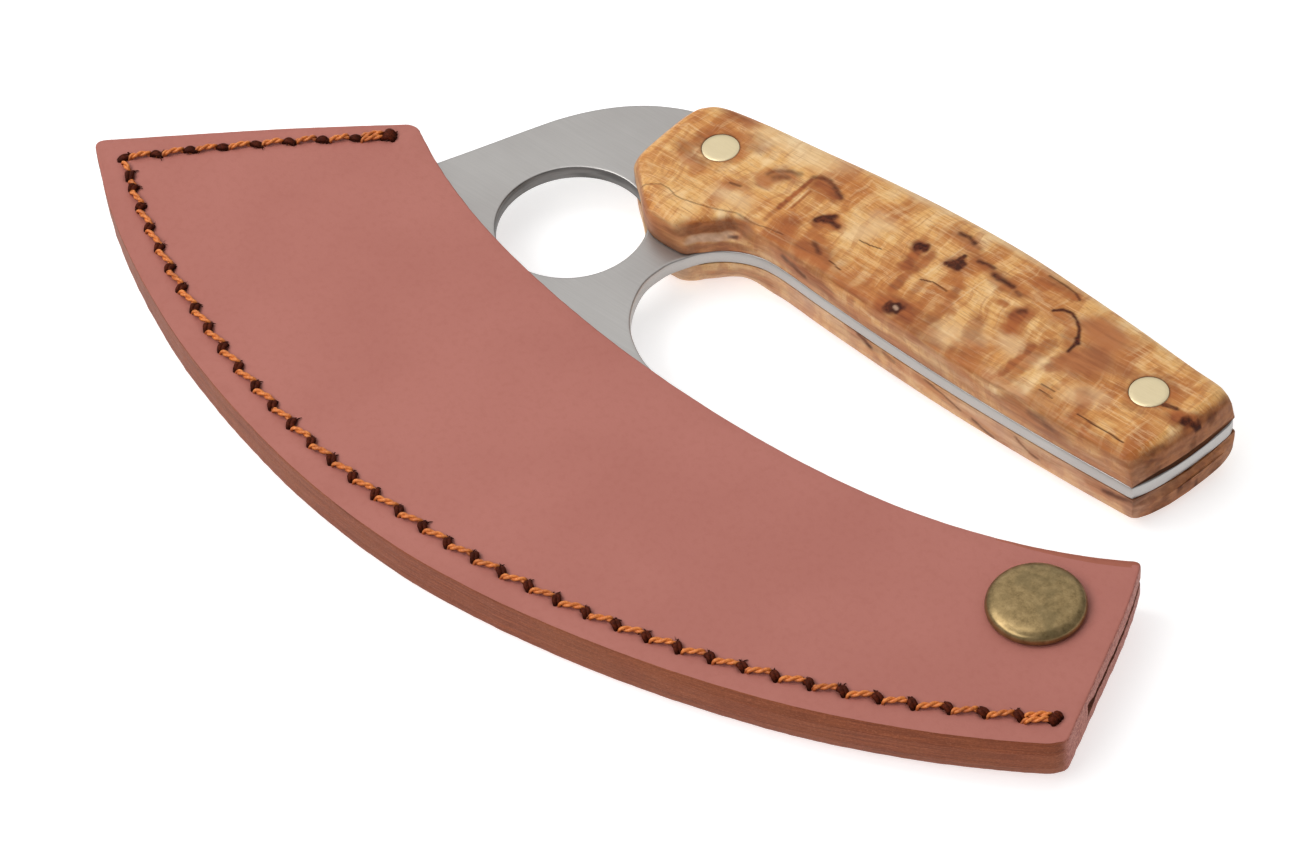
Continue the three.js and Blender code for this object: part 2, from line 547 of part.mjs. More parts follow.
const studGeometry = turned([
  [0, -0.3], [1.45, -0.3], [1.45, -1.05], [2.0, -Z_IN + PLY_GAP], [STUD_FLANGE_R - 0.2, -Z_IN + PLY_GAP], [STUD_FLANGE_R, -1.2], [STUD_FLANGE_R - 0.3, -1.0], [1.95, -0.9], [1.95, -0.7],
  [STUD_HEAD_R, -0.5], [STUD_HEAD_R, -0.2], [1.9, 0.15], [1.0, 0.32], [0, 0.36],
], sx, sy, 24);
const postGeometry = turned([
  [0, -Z_OUT - 0.5], [1.4, -Z_OUT - 0.6], [POST_FLANGE_R - 0.8, -Z_OUT - 0.75], [POST_FLANGE_R, -Z_OUT - 0.4], [POST_FLANGE_R - 0.15, -Z_OUT - PLY_GAP], [SHANK_R, -Z_OUT - PLY_GAP], [SHANK_R, -Z_IN - 0.05],
  [1.3, -1.3], [1.3, -0.5], [0, -0.42],
], sx, sy, 24);

// ------------------------------------------------------------------ assembly
const steel = new THREE.MeshStandardMaterial({ color: 0xaaa8a6, roughness: 0.38, metalness: 1.0 });
const birch = new THREE.MeshStandardMaterial({ color: 0xc98f57, roughness: 0.4, metalness: 0.0 });
const brass = new THREE.MeshStandardMaterial({ color: 0xe0cf9f, roughness: 0.35, metalness: 1.0 });
const leather = new THREE.MeshStandardMaterial({ color: 0xb57365, roughness: 0.62, metalness: 0.0 });
const orange = new THREE.MeshStandardMaterial({ color: 0xc8752f, roughness: 0.7, metalness: 0.0 });
const brown = new THREE.MeshStandardMaterial({ color: 0x3c1c14, roughness: 0.75, metalness: 0.0 });
const bronze = new THREE.MeshStandardMaterial({ color: 0x7d6a3f, roughness: 0.42, metalness: 1.0 });

function mesh(name, geometry, material) {
  const m = new THREE.Mesh(geometry, material);
  m.name = name;
  return m;
}

const knife = new THREE.Group();
knife.add(
  mesh('blade_plate', bladeGeometry, steel),
  mesh('handle_scale_upper', scaleGeometry(1), birch),
  mesh('handle_scale_lower', scaleGeometry(-1), birch),
  mesh('handle_pin_front', pinGeometry(PIN_XY[0]), brass),
  mesh('handle_pin_rear', pinGeometry(PIN_XY[1]), brass),
);
const sheath = new THREE.Group();
sheath.add(
  mesh('sheath_back_panel', backGeometry, leather),
  mesh('sheath_welt', weltGeometry, leather),
  mesh('sheath_front_panel', frontGeometry, leather),
  mesh('stitch_thread_upper', threadGeometry(Z_OUT + PLY_GAP, Z_OUT + PLY_GAP + THREAD_H, 0.2), orange),
  mesh('stitch_thread_lower', threadGeometry(-Z_OUT + 0.02, -Z_OUT + 0.02 + THREAD_H, -0.2), brown),
  mesh('snap_stud', studGeometry, bronze),
  mesh('snap_post', postGeometry, bronze),
);
const flap = new THREE.Group();
flap.add(
  mesh('sheath_snap_flap', flapGeometry, leather),
  mesh('snap_cap', capGeometry, bronze),
  mesh('snap_socket', socketGeometry, bronze),
);

const leaning = new THREE.Group();
leaning.rotation.x = rad(REST_TILT_DEG);
leaning.add(knife, sheath, flap);
const ulu = new THREE.Group();
ulu.add(leaning);
ulu.position.set(...ORIGIN_SHIFT);
ulu.updateMatrixWorld(true);

export default ulu;
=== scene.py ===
import math

import bpy
import numpy as np
from mathutils import Matrix, Vector
from mathutils.geometry import delaunay_2d_cdt

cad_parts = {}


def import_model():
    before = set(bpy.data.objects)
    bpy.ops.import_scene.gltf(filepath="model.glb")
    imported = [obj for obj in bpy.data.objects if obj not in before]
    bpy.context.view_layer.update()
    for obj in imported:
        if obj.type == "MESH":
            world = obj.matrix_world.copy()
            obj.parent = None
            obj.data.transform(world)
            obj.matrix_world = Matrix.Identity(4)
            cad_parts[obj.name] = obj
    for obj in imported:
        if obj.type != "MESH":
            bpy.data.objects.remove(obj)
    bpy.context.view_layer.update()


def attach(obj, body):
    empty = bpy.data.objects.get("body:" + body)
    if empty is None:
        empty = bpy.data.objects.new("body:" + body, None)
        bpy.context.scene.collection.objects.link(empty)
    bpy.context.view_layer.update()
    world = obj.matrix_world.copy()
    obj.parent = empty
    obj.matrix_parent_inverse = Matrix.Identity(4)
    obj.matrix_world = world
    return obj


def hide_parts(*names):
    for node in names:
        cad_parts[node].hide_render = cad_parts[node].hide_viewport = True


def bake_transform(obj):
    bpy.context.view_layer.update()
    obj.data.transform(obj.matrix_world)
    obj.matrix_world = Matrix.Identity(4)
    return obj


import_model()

rng = np.random.default_rng(11)

# ------------------------------------------------------------------ frame
# Lengths below are millimetres in the knife's own frame: X along the handle
# towards its rear end, Y from the cutting edge to the handle, z = 0 in the
# middle of the steel. world() takes them to the shared frame in metres.
TILT = math.radians(2.92)
SHIFT = np.array([14.679, -11.57, 5.627])


def turn(p):
    p = np.asarray(p, float)
    c, s = math.cos(TILT), math.sin(TILT)
    return np.stack([p[..., 0], p[..., 1] * c - p[..., 2] * s, p[..., 1] * s + p[..., 2] * c], -1)


def world(p):
    return (turn(p) + SHIFT) / 1000.0


# ------------------------------------------------------------- dimensions
HALF_STEEL = 1.25
ARC_CENTRE = np.array([-17.6, 140.6])
EDGE_R = 169.5
EDGE_TIP_X = (-85.9, 47.0)
BEVEL_W = 9.0
EDGE_LAND = 0.3
FINGER_HOLE = (-42.2, 27.5, 12.4)
Z_SCALE0 = 1.35
Z_SCALE1 = 7.35
PIN_XY = ((-29.95, 50.35), (55.8, 50.35))
PIN_R = 3.05
PIN_HOLE_R = 3.12
RIM = [[-124, 178.5], [-121, 178.95], [-118.5, 179.45], [-115.5, 179.75], [-112, 179.95], [-108, 180.2], [-104, 180.3], [-100, 180.5], [-96, 180.8], [-92, 181.0], [-88, 181.0], [-84, 180.7], [-80, 180.5], [-76, 180.5], [-72, 180.7], [-68, 181.0], [-64, 181.1], [-60, 181.2], [-55, 181.1]]
Z_IN = 1.5
Z_OUT = 3.6
PLY_GAP = 0.06
WELT_INNER_R = 171.8
WELT_W_END = 5.2
FOLD_POINT = np.array([84.0, -3.6])
FOLD_N = np.array([0.24254, 0.97014])
SEAM_CENTRE = np.array([-16.28, 137.75])
SEAM_R = 173.0
SNAP_XY = np.array([66.6, 9.5])

GRIP_GAP = [[-8.0, 10.7], [-12.9, 12.1], [-16.1, 13.7], [-18.5, 15.4], [-20.3, 17.2], [-22.2, 20.0], [-23.6, 23.3], [-24.0, 25.4], [-23.9, 27.6], [-23.5, 29.9], [-22.5, 32.2], [-20.9, 35.0], [-18.5, 37.4], [-15.4, 39.15], [-12.6, 39.95], [-9.8, 40.1], [-6.5, 39.9], [-2.5, 39.5]]
UNDERSIDE = [[2.2, 39.1], [7.1, 38.75], [12.1, 38.4], [23.1, 37.8], [33.0, 37.5], [42.4, 37.4], [51.7, 37.45], [61.7, 37.65]]
REAR_END = [[62.45, 37.75], [63.6, 40.6], [64.6, 44.2], [65.35, 48.0], [65.85, 52.0], [66.1, 55.0], [66.1, 57.3], [65.4, 58.8], [63.8, 59.55]]
FAR_EDGE = [[57, 60.0], [47, 61.3], [34, 62.6], [23, 63.5], [8, 63.55], [-6, 62.7], [-17, 61.65], [-28.5, 60.6], [-37, 59.5]]
BLADE_BACK = [[-42.9, 58.7], [-45.6, 57.75], [-50.0, 55.3], [-53.8, 52.1], [-57.1, 48.2], [-59.85, 43.85], [-62.1, 39.1], [-64.25, 34.2], [-66.35, 29.4], [-68.55, 24.5]]
BLADE_INNER = [[40.0, -9.6], [30.0, -3.0], [20.0, 1.6], [10.0, 5.2], [0.0, 8.2]]
SCALE_NOSE = [[-40.9, 41.2], [-39.5, 40.0], [-37.0, 38.15], [-34.7, 36.2], [-33.0, 34.75], [-31.5, 33.75], [-30.0, 33.1], [-28.4, 32.8], [-26.4, 32.75], [-24.6, 32.8], [-23.5, 32.9], [-22.6, 33.25], [-21.8, 34.15]]
SCALE_FAR_FRONT = [[-40.9, 54.4], [-40.2, 56.2], [-38.7, 57.9], [-36.6, 59.2]]
LEFT_END = [[-115.7, -8.5], [-113.2, -6.2], [-106.85, -0.32], [-99.4, 6.53], [-91.95, 13.33], [-84.2, 19.98], [-75.75, 27.0]]


def mouth_y(x):
    t = x / 50.0
    return 1.208 * t ** 4 + 0.74 * t ** 3 + 5.134 * t ** 2 - 1.538 * t + 9.45 - 0.5 * np.clip(-(x + 40) / 35, 0, 1)


def right_x(y):
    return 82.95 - 0.332 * y - 0.0055 * np.maximum(0, y - 12) ** 2


# ------------------------------------------------------------ curve helpers
def resample(p, step):
    p = np.asarray(p, float)
    s = np.concatenate([[0], np.cumsum(np.linalg.norm(np.diff(p, axis=0), axis=1))])
    n = max(2, int(round(s[-1] / step)) + 1)
    q = np.linspace(0, s[-1], n)
    return np.stack([np.interp(q, s, p[:, k]) for k in range(p.shape[1])], -1)


def catmull(points, step):
    """Smooth centripetal curve through points, sampled at even steps."""
    p = np.asarray(points, float)
    q = np.vstack([2 * p[0] - p[1], p, 2 * p[-1] - p[-2]])
    t = np.linspace(0, 1, 32, endpoint=False)[:, None]
    out = []
    for i in range(1, len(q) - 2):
        p0, p1, p2, p3 = q[i - 1:i + 3]
        d0, d1, d2 = (max(np.linalg.norm(b - a) ** 0.5, 1e-4) for a, b in ((p0, p1), (p1, p2), (p2, p3)))
        m1 = ((p1 - p0) / d0 - (p2 - p0) / (d0 + d1) + (p2 - p1) / d1) * d1
        m2 = ((p2 - p1) / d1 - (p3 - p1) / (d1 + d2) + (p3 - p2) / d2) * d1
        out.append((2 * t ** 3 - 3 * t ** 2 + 1) * p1 + (t ** 3 - 2 * t ** 2 + t) * m1 + (-2 * t ** 3 + 3 * t ** 2) * p2 + (t ** 3 - t ** 2) * m2)
    out.append(p[-1:])
    return resample(np.vstack(out), step)


def smoothstep(a, b, x):
    t = np.clip((np.asarray(x, float) - a) / (b - a), 0, 1)
    return t * t * (3 - 2 * t)


def on_arc(c, r, deg):
    a = np.radians(deg)
    return np.stack([c[0] + r * np.cos(a), c[1] + r * np.sin(a)], -1)


def deg_at(c, p):
    return math.degrees(math.atan2(p[1] - c[1], p[0] - c[0]))


def arc_below(r, x):
    return ARC_CENTRE[1] - math.sqrt(r * r - (x - ARC_CENTRE[0]) ** 2)


def round_corner(poly, corner, d, n):
    """Closed outline with the corner nearest to a point cut back by d and rounded."""
    N = len(poly)
    i = int(np.argmin(np.linalg.norm(poly - np.asarray(corner), axis=1)))

    def walk(way):
        left, k = d, i
        while True:
            a, b = poly[k % N], poly[(k + way) % N]
            l = np.linalg.norm(b - a)
            if l > left:
                return a + (b - a) * left / l, k + way
            left -= l
            k += way

    pb, kb = walk(-1)
    pf, kf = walk(1)
    t = np.linspace(0, 1, n + 1)[:, None]
    arc = (1 - t) ** 2 * pb + 2 * t * (1 - t) * poly[i] + t * t * pf
    rest = np.array([poly[k % N] for k in range(kf, kb + N + 1)])
    return np.vstack([rest, arc])


def ccw(p):
    q = np.roll(p, -1, 0)
    return p[::-1].copy() if np.sum(p[:, 0] * q[:, 1] - q[:, 0] * p[:, 1]) < 0 else p


def inset(p, d):
    """Closed counter-clockwise outline moved inwards by d."""
    a, b = np.roll(p, 1, 0), np.roll(p, -1, 0)
    u = (p - a) / np.linalg.norm(p - a, axis=1)[:, None]
    v = (b - p) / np.linalg.norm(b - p, axis=1)[:, None]
    n = np.stack([-u[:, 1] - v[:, 1], u[:, 0] + v[:, 0]], -1)
    n /= np.linalg.norm(n, axis=1)[:, None]
    k = np.maximum(0.6, n[:, 0] * -u[:, 1] + n[:, 1] * u[:, 0])
    return p + n * (np.asarray(d) / k)[:, None] if np.ndim(d) else p + n * (d / k)[:, None]


def circle(x, y, r, n):
    a = np.arange(n) * 2 * math.pi / n
    return np.stack([x + r * np.cos(a), y + r * np.sin(a)], -1)


def inside(p, loops):
    count = np.zeros(len(p), int)
    for l in loops:
        a, b = l, np.roll(l, -1, 0)
        dy = b[:, 1] - a[:, 1]
        dy = np.where(np.abs(dy) < 1e-12, 1e-12, dy)
        for s in range(0, len(p), 3000):
            q = p[s:s + 3000]
            y = q[:, 1:2]
            hit = (a[None, :, 1] > y) != (b[None, :, 1] > y)
            x = a[None, :, 0] + (y - a[None, :, 1]) * ((b[:, 0] - a[:, 0]) / dy)[None, :]
            count[s:s + 3000] += (hit & (q[:, 0:1] < x)).sum(1)
    return count % 2 == 1


def distance(p, line, closed=False):
    """Distance of points to a polyline, in two or three dimensions."""
    line = np.asarray(line, float)
    if closed:
        line = np.vstack([line, line[:1]])
    if len(line) == 1:
        line = np.vstack([line, line + 1e-6])
    best = np.full(len(p), 1e9)
    a, b = line[:-1], line[1:]
    ab = b - a
    l2 = np.maximum((ab ** 2).sum(1), 1e-12)
    for s in range(0, len(p), 3000):
        q = p[s:s + 3000]
        t = np.clip(((q[:, None, :] - a[None]) * ab[None]).sum(2) / l2[None], 0, 1)
        best[s:s + 3000] = np.sqrt(((q[:, None, :] - a[None] - t[..., None] * ab[None]) ** 2).sum(2).min(1))
    return best


def wobble(p, size, seed):
    """Smooth pseudo-random field between about -1 and 1."""
    r = np.random.default_rng(seed)
    p = np.asarray(p, float)
    out = np.zeros(len(p))
    for octave in range(3):
        f = 2 ** octave / size
        for _ in range(4):
            k = r.normal(size=p.shape[1])
            k *= f * 2 * math.pi / np.linalg.norm(k) * r.uniform(0.6, 1.3)
            out += np.sin(p @ k + r.uniform(0, 6.28)) * 0.35 / 2 ** octave
    return out


# ------------------------------------------------------------- mesh helpers
def cap(loops, extra):
    """Triangles over the area between loops, through extra points inside it."""
    pts = np.vstack(list(loops) + ([extra] if len(extra) else []))
    edges, base = [], 0
    for l in loops:
        n = len(l)
        edges += [(base + i, base + (i + 1) % n) for i in range(n)]
        base += n
    out = delaunay_2d_cdt([Vector(p) for p in pts.tolist()], edges, [], 0, 1e-7)
    back = [o[0] if len(o) else -1 for o in out[3]]
    tri = np.array([[back[i] for i in f] for f in out[2]], int)
    if (tri < 0).any():
        raise RuntimeError("outline crosses itself")
    tri = tri[inside(pts[tri].mean(1), loops)]
    a, b, c = pts[tri[:, 0]], pts[tri[:, 1]], pts[tri[:, 2]]
    area = (b[:, 0] - a[:, 0]) * (c[:, 1] - a[:, 1]) - (b[:, 1] - a[:, 1]) * (c[:, 0] - a[:, 0])
    tri = tri[np.abs(area) > 1e-9]
    area = area[np.abs(area) > 1e-9]
    tri[area < 0] = tri[area < 0][:, ::-1]
    return tri


def shell(rings, holes=(), top_points=(), bottom_points=(), top_z=None, bottom_z=None):
    """Closed plate from stacked outlines, bottom first, with holes stacked the same way.
    Returns points, faces and a tag for each face: 0 side, 1 top, 2 bottom, 3 hole wall."""
    pts, faces, tags, count = [], [], [], 0
    first, last = [], []
    for w, stack in enumerate([rings] + list(holes)):
        n = len(stack[0][0])
        base = count
        for o, z in stack:
            o = np.asarray(o, float)
            if w:
                o = ccw(o)[::-1]
            pts.append(np.column_stack([o, np.broadcast_to(z, n)]))
            count += n
        for k in range(len(stack) - 1):
            a = base + k * n + np.arange(n)
            b = base + k * n + (np.arange(n) + 1) % n
            faces += np.column_stack([a, b, b + n, a + n]).tolist()
            tags += [3 if w else 0] * n
        first.append((pts[-len(stack)][:, :2], base))
        last.append((pts[-1][:, :2], base + (len(stack) - 1) * n))
    for way, ends, extra, zf, z in ((1, last, top_points, top_z, rings[-1][1]), (2, first, bottom_points, bottom_z, rings[0][1])):
        extra = np.asarray(extra, float).reshape(-1, 2)
        tri = cap([e[0] for e in ends], extra)
        index = np.concatenate([e[1] + np.arange(len(e[0])) for e in ends] + [count + np.arange(len(extra))])
        if len(extra):
            pts.append(np.column_stack([extra, zf(extra) if zf else np.full(len(extra), float(np.mean(z)))]))
            count += len(extra)
        tri = index[tri]
        faces += (tri if way == 1 else tri[:, ::-1]).tolist()
        tags += [way] * len(tri)
    return np.vstack(pts), faces, np.array(tags)


def add_mesh(name, pts, faces, materials, which=None, masks=None, sharp=None):
    pts = np.asarray(pts, float)
    me = bpy.data.meshes.new(name)
    me.from_pydata(world(pts).tolist(), [], [[int(i) for i in f] for f in faces])
    me.update()
    me.shade_smooth()
    if sharp:
        me.set_sharp_from_angle(angle=math.radians(sharp))
    at = me.attributes.new("loc", "FLOAT_VECTOR", "POINT")
    at.data.foreach_set("vector", pts.astype(np.float32).ravel())
    for key, value in (masks or {}).items():
        at = me.attributes.new(key, "FLOAT", "POINT")
        at.data.foreach_set("value", np.asarray(value, np.float32))
    for m in materials:
        me.materials.append(m)
    if which is not None:
        me.polygons.foreach_set("material_index", np.asarray(which, np.int32))
    ob = bpy.data.objects.new(name, me)
    bpy.context.scene.collection.objects.link(ob)
    return ob


def soften(profile, cut, n=4, closed=False):
    """Profile with its corners rounded."""
    p = np.asarray(profile, float)
    out = []
    for i in range(len(p)):
        if not closed and i in (0, len(p) - 1):
            out.append(p[i:i + 1])
            continue
        a, b, c = p[i - 1], p[i], p[(i + 1) % len(p)]
        la, lc = np.linalg.norm(a - b), np.linalg.norm(c - b)
        d = min(cut, 0.4 * la, 0.4 * lc)
        s, e = b + (a - b) * d / la, b + (c - b) * d / lc
        t = np.linspace(0, 1, n + 1)[:, None]
        out.append((1 - t) ** 2 * s + 2 * t * (1 - t) * b + t * t * e)
    return np.vstack(out)


def turned(profile, centre, n=96, closed=False):
    """Turned solid: profile of [radius, height], from the bottom up round the outside."""
    p = np.asarray(profile, float)
    a = np.arange(n) * 2 * math.pi / n
    pts, start, faces = [], [], []
    count = 0
    for r, z in p:
        start.append(count)
        if r < 1e-9:
            pts.append([[centre[0], centre[1], z]])
            count += 1
        else:
            pts.append(np.column_stack([centre[0] + r * np.cos(a), centre[1] + r * np.sin(a), np.full(n, z)]))
            count += n
    pairs = list(range(len(p) - 1)) + ([len(p) - 1] if closed else [])
    for k in pairs:
        l = (k + 1) % len(p)
        s, e = start[k], start[l]
        for i in range(n):
            j = (i + 1) % n
            if p[k, 0] < 1e-9:
                faces.append([s, e + j, e + i])
            elif p[l, 0] < 1e-9:
                faces.append([s + i, s + j, e])
            else:
                faces.append([s + i, s + j, e + j, e + i])
    return np.vstack(pts), faces


class Soup:
    """Collects tubes and other bits into one mesh."""

    def __init__(self):
        self.pts, self.faces, self.kind, self.count = [], [], [], 0

    def add(self, pts, faces, kind=0):
        self.pts.append(np.asarray(pts, float))
        self.faces += [[i + self.count for i in f] for f in faces]
        self.kind += [kind] * len(faces)
        self.count += len(pts)

    def tube(self, path, radius, sides=8, kind=0, phase=0.0, flat=1.0):
        """Tube along a path, with rounded-off closed ends; flat squeezes it in height."""
        path = np.asarray(path, float)
        n = len(path)
        radius = np.broadcast_to(radius, n)
        t = np.gradient(path, axis=0)
        t /= np.linalg.norm(t, axis=1)[:, None]
        up = np.array([0, 0, 1.0])
        side = np.cross(t, up)
        bad = np.linalg.norm(side, axis=1) < 1e-3
        side[bad] = [1, 0, 0]
        side /= np.linalg.norm(side, axis=1)[:, None]
        for i in range(1, n):
            if side[i] @ side[i - 1] < 0:
                side[i] = -side[i]
        nrm = np.cross(side, t)
        a = np.arange(sides) * 2 * math.pi / sides + phase
        ring = path[:, None, :] + radius[:, None, None] * (np.cos(a)[None, :, None] * side[:, None, :] + flat * np.sin(a)[None, :, None] * nrm[:, None, :])
        pts = np.vstack([ring.reshape(-1, 3), path[:1] - t[:1] * radius[0] * 0.5, path[-1:] + t[-1:] * radius[-1] * 0.5])
        faces = []
        for k in range(n - 1):
            for i in range(sides):
                j = (i + 1) % sides
                faces.append([k * sides + j, k * sides + i, (k + 1) * sides + i, (k + 1) * sides + j])
        e0, e1 = n * sides, n * sides + 1
        for i in range(sides):
            j = (i + 1) % sides
            faces.append([e0, i, j])
            faces.append([e1, (n - 1) * sides + j, (n - 1) * sides + i])
        self.add(pts, faces, kind)

    def twist(self, path, width, plies=3, pitch=2.3, kind=0, phase=0.0, sides=8, step=0.14, flat=0.85):
        """Twisted cord: plies wound round a path."""
        path = resample(path, step)
        n = len(path)
        t = np.gradient(path, axis=0)
        t /= np.linalg.norm(t, axis=1)[:, None]
        side = np.cross(t, [0, 0, 1.0])
        side /= np.maximum(np.linalg.norm(side, axis=1), 1e-6)[:, None]
        nrm = np.cross(side, t)
        s = np.concatenate([[0], np.cumsum(np.linalg.norm(np.diff(path, axis=0), axis=1))])
        rs = width * 0.262
        off = width / 2 - rs
        for k in range(plies):
            a = phase + 2 * math.pi * (s / pitch + k / plies)
            q = path + off * (np.cos(a)[:, None] * side + flat * np.sin(a)[:, None] * nrm)
            self.tube(q, rs, sides, kind)

    def mesh(self):
        return np.vstack(self.pts), self.faces, np.array(self.kind)


# -------------------------------------------------------------- materials
class Mat:
    def __init__(self, name):
        self.m = bpy.data.materials.new(name)
        self.m.use_nodes = True
        self.t = self.m.node_tree
        self.t.nodes.clear()
        self.out = self.t.nodes.new("ShaderNodeOutputMaterial")
        self.b = self.t.nodes.new("ShaderNodeBsdfPrincipled")
        self.t.links.new(self.b.outputs[0], self.out.inputs[0])

    def set(self, **values):
        for key, v in values.items():
            name = key.replace("_", " ")
            self.b.inputs[name].default_value = v
        return self

    def to(self, socket, value):
        self.t.links.new(value, self.b.inputs[socket])

    def node(self, kind):
        return self.t.nodes.new(kind)

    def put(self, socket, value):
        if hasattr(value, "is_linked"):
            self.t.links.new(value, socket)
        else:
            socket.default_value = value

    def attr(self, name, vector=False):
        n = self.node("ShaderNodeAttribute")
        n.attribute_name = name
        return n.outputs["Vector" if vector else "Fac"]

    def scale(self, vec, by, move=(0, 0, 0), rot=(0, 0, 0)):
        n = self.node("ShaderNodeMapping")
        self.put(n.inputs["Vector"], vec)
        n.inputs["Scale"].default_value = by
        n.inputs["Location"].default_value = move
        n.inputs["Rotation"].default_value = rot
        return n.outputs[0]

    def noise(self, vec, scale=1.0, detail=2.0, rough=0.5, distort=0.0, colour=False):
        n = self.node("ShaderNodeTexNoise")
        self.put(n.inputs["Vector"], vec)
        n.inputs["Scale"].default_value = scale
        n.inputs["Detail"].default_value = detail
        n.inputs["Roughness"].default_value = rough
        n.inputs["Distortion"].default_value = distort
        return n.outputs["Color" if colour else "Fac"]

    def voronoi(self, vec, scale=1.0, feature="F1", rand=1.0):
        n = self.node("ShaderNodeTexVoronoi")
        n.feature = feature
        self.put(n.inputs["Vector"], vec)
        n.inputs["Scale"].default_value = scale
        n.inputs["Randomness"].default_value = rand
        return n.outputs["Distance"]

    def ramp(self, fac, stops, ease=False):
        n = self.node("ShaderNodeValToRGB")
        self.put(n.inputs[0], fac)
        e = n.color_ramp.elements
        if ease:
            n.color_ramp.interpolation = "EASE"
        while len(e) < len(stops):
            e.new(0.5)
        for i, (pos, col) in enumerate(stops):
            e[i].position = pos
            e[i].color = (*col, 1) if len(col) == 3 else col
        return n.outputs[0]

    def step(self, fac, a, b):
        n = self.node("ShaderNodeMapRange")
        n.interpolation_type = "SMOOTHSTEP"
        self.put(n.inputs["Value"], fac)
        n.inputs["From Min"].default_value = a
        n.inputs["From Max"].default_value = b
        return n.outputs[0]

    def math(self, op, a, b=0.0):
        n = self.node("ShaderNodeMath")
        n.operation = op
        self.put(n.inputs[0], a)
        self.put(n.inputs[1], b)
        return n.outputs[0]

    def vmath(self, op, a, b):
        n = self.node("ShaderNodeVectorMath")
        n.operation = op
        self.put(n.inputs[0], a)
        self.put(n.inputs[1], b)
        return n.outputs[0]

    def mix(self, fac, a, b, kind="MIX"):
        n = self.node("ShaderNodeMix")
        n.data_type = "RGBA"
        n.blend_type = kind
        self.put(n.inputs[0], fac)
        self.put(n.inputs[6], a if hasattr(a, "is_linked") else (*a, 1))
        self.put(n.inputs[7], b if hasattr(b, "is_linked") else (*b, 1))
        return n.outputs[2]

    def bump(self, height, distance, strength=1.0, normal=None):
        n = self.node("ShaderNodeBump")
        self.put(n.inputs["Height"], height)
        n.inputs["Distance"].default_value = distance
        n.inputs["Strength"].default_value = strength
        if normal is not None:
            self.put(n.inputs["Normal"], normal)
        return n.outputs[0]


def lin(r, g, b):
    return tuple(c / 12.92 if c <= 0.04045 else ((c + 0.055) / 1.055) ** 2.4 for c in (r / 255, g / 255, b / 255))


def make_steel():
    m = Mat("brushed_steel")
    p = m.attr("loc", True)
    brush = m.noise(m.scale(p, (0.09, 5.0, 3.0), rot=(0, 0, 0.25)), 1.0, 3, 0.6)
    cloud = m.noise(p, 0.05, 3, 0.55)
    m.to("Base Color", m.mix(m.step(cloud, 0.3, 0.7), m.mix(brush, lin(166, 162, 159), lin(182, 178, 175)), m.mix(brush, lin(172, 169, 166), lin(190, 187, 184))))
    m.to("Roughness", m.math("ADD", m.math("MULTIPLY", brush, 0.12), 0.34))
    m.to("Normal", m.bump(brush, 0.00002, 0.35))
    return m.set(Metallic=1.0).m


# Darker steel for the finger-hole wall: painted shade and a painted dark reflection of the shadowed floor inside the
# hole.
def make_hole_shade_steel():
    m = Mat("hole_wall_steel_painted_shade")
    p = m.attr("loc", True)
    hole_streak = m.noise(m.scale(p, (0.25, 0.25, 6.0)), 1.0, 3, 0.6)
    deep = m.step(m.noise(m.scale(p, (0.12, 0.12, 0.9)), 1.0, 2, 0.5), 0.35, 0.65)
    m.to("Base Color", m.mix(deep, m.mix(hole_streak, lin(84, 83, 82), lin(108, 106, 104)), m.mix(hole_streak, lin(110, 108, 106), lin(134, 131, 129))))
    m.to("Roughness", m.math("ADD", m.math("MULTIPLY", hole_streak, 0.15), 0.42))
    m.to("Normal", m.bump(hole_streak, 0.00002, 0.35))
    return m.set(Metallic=1.0).m


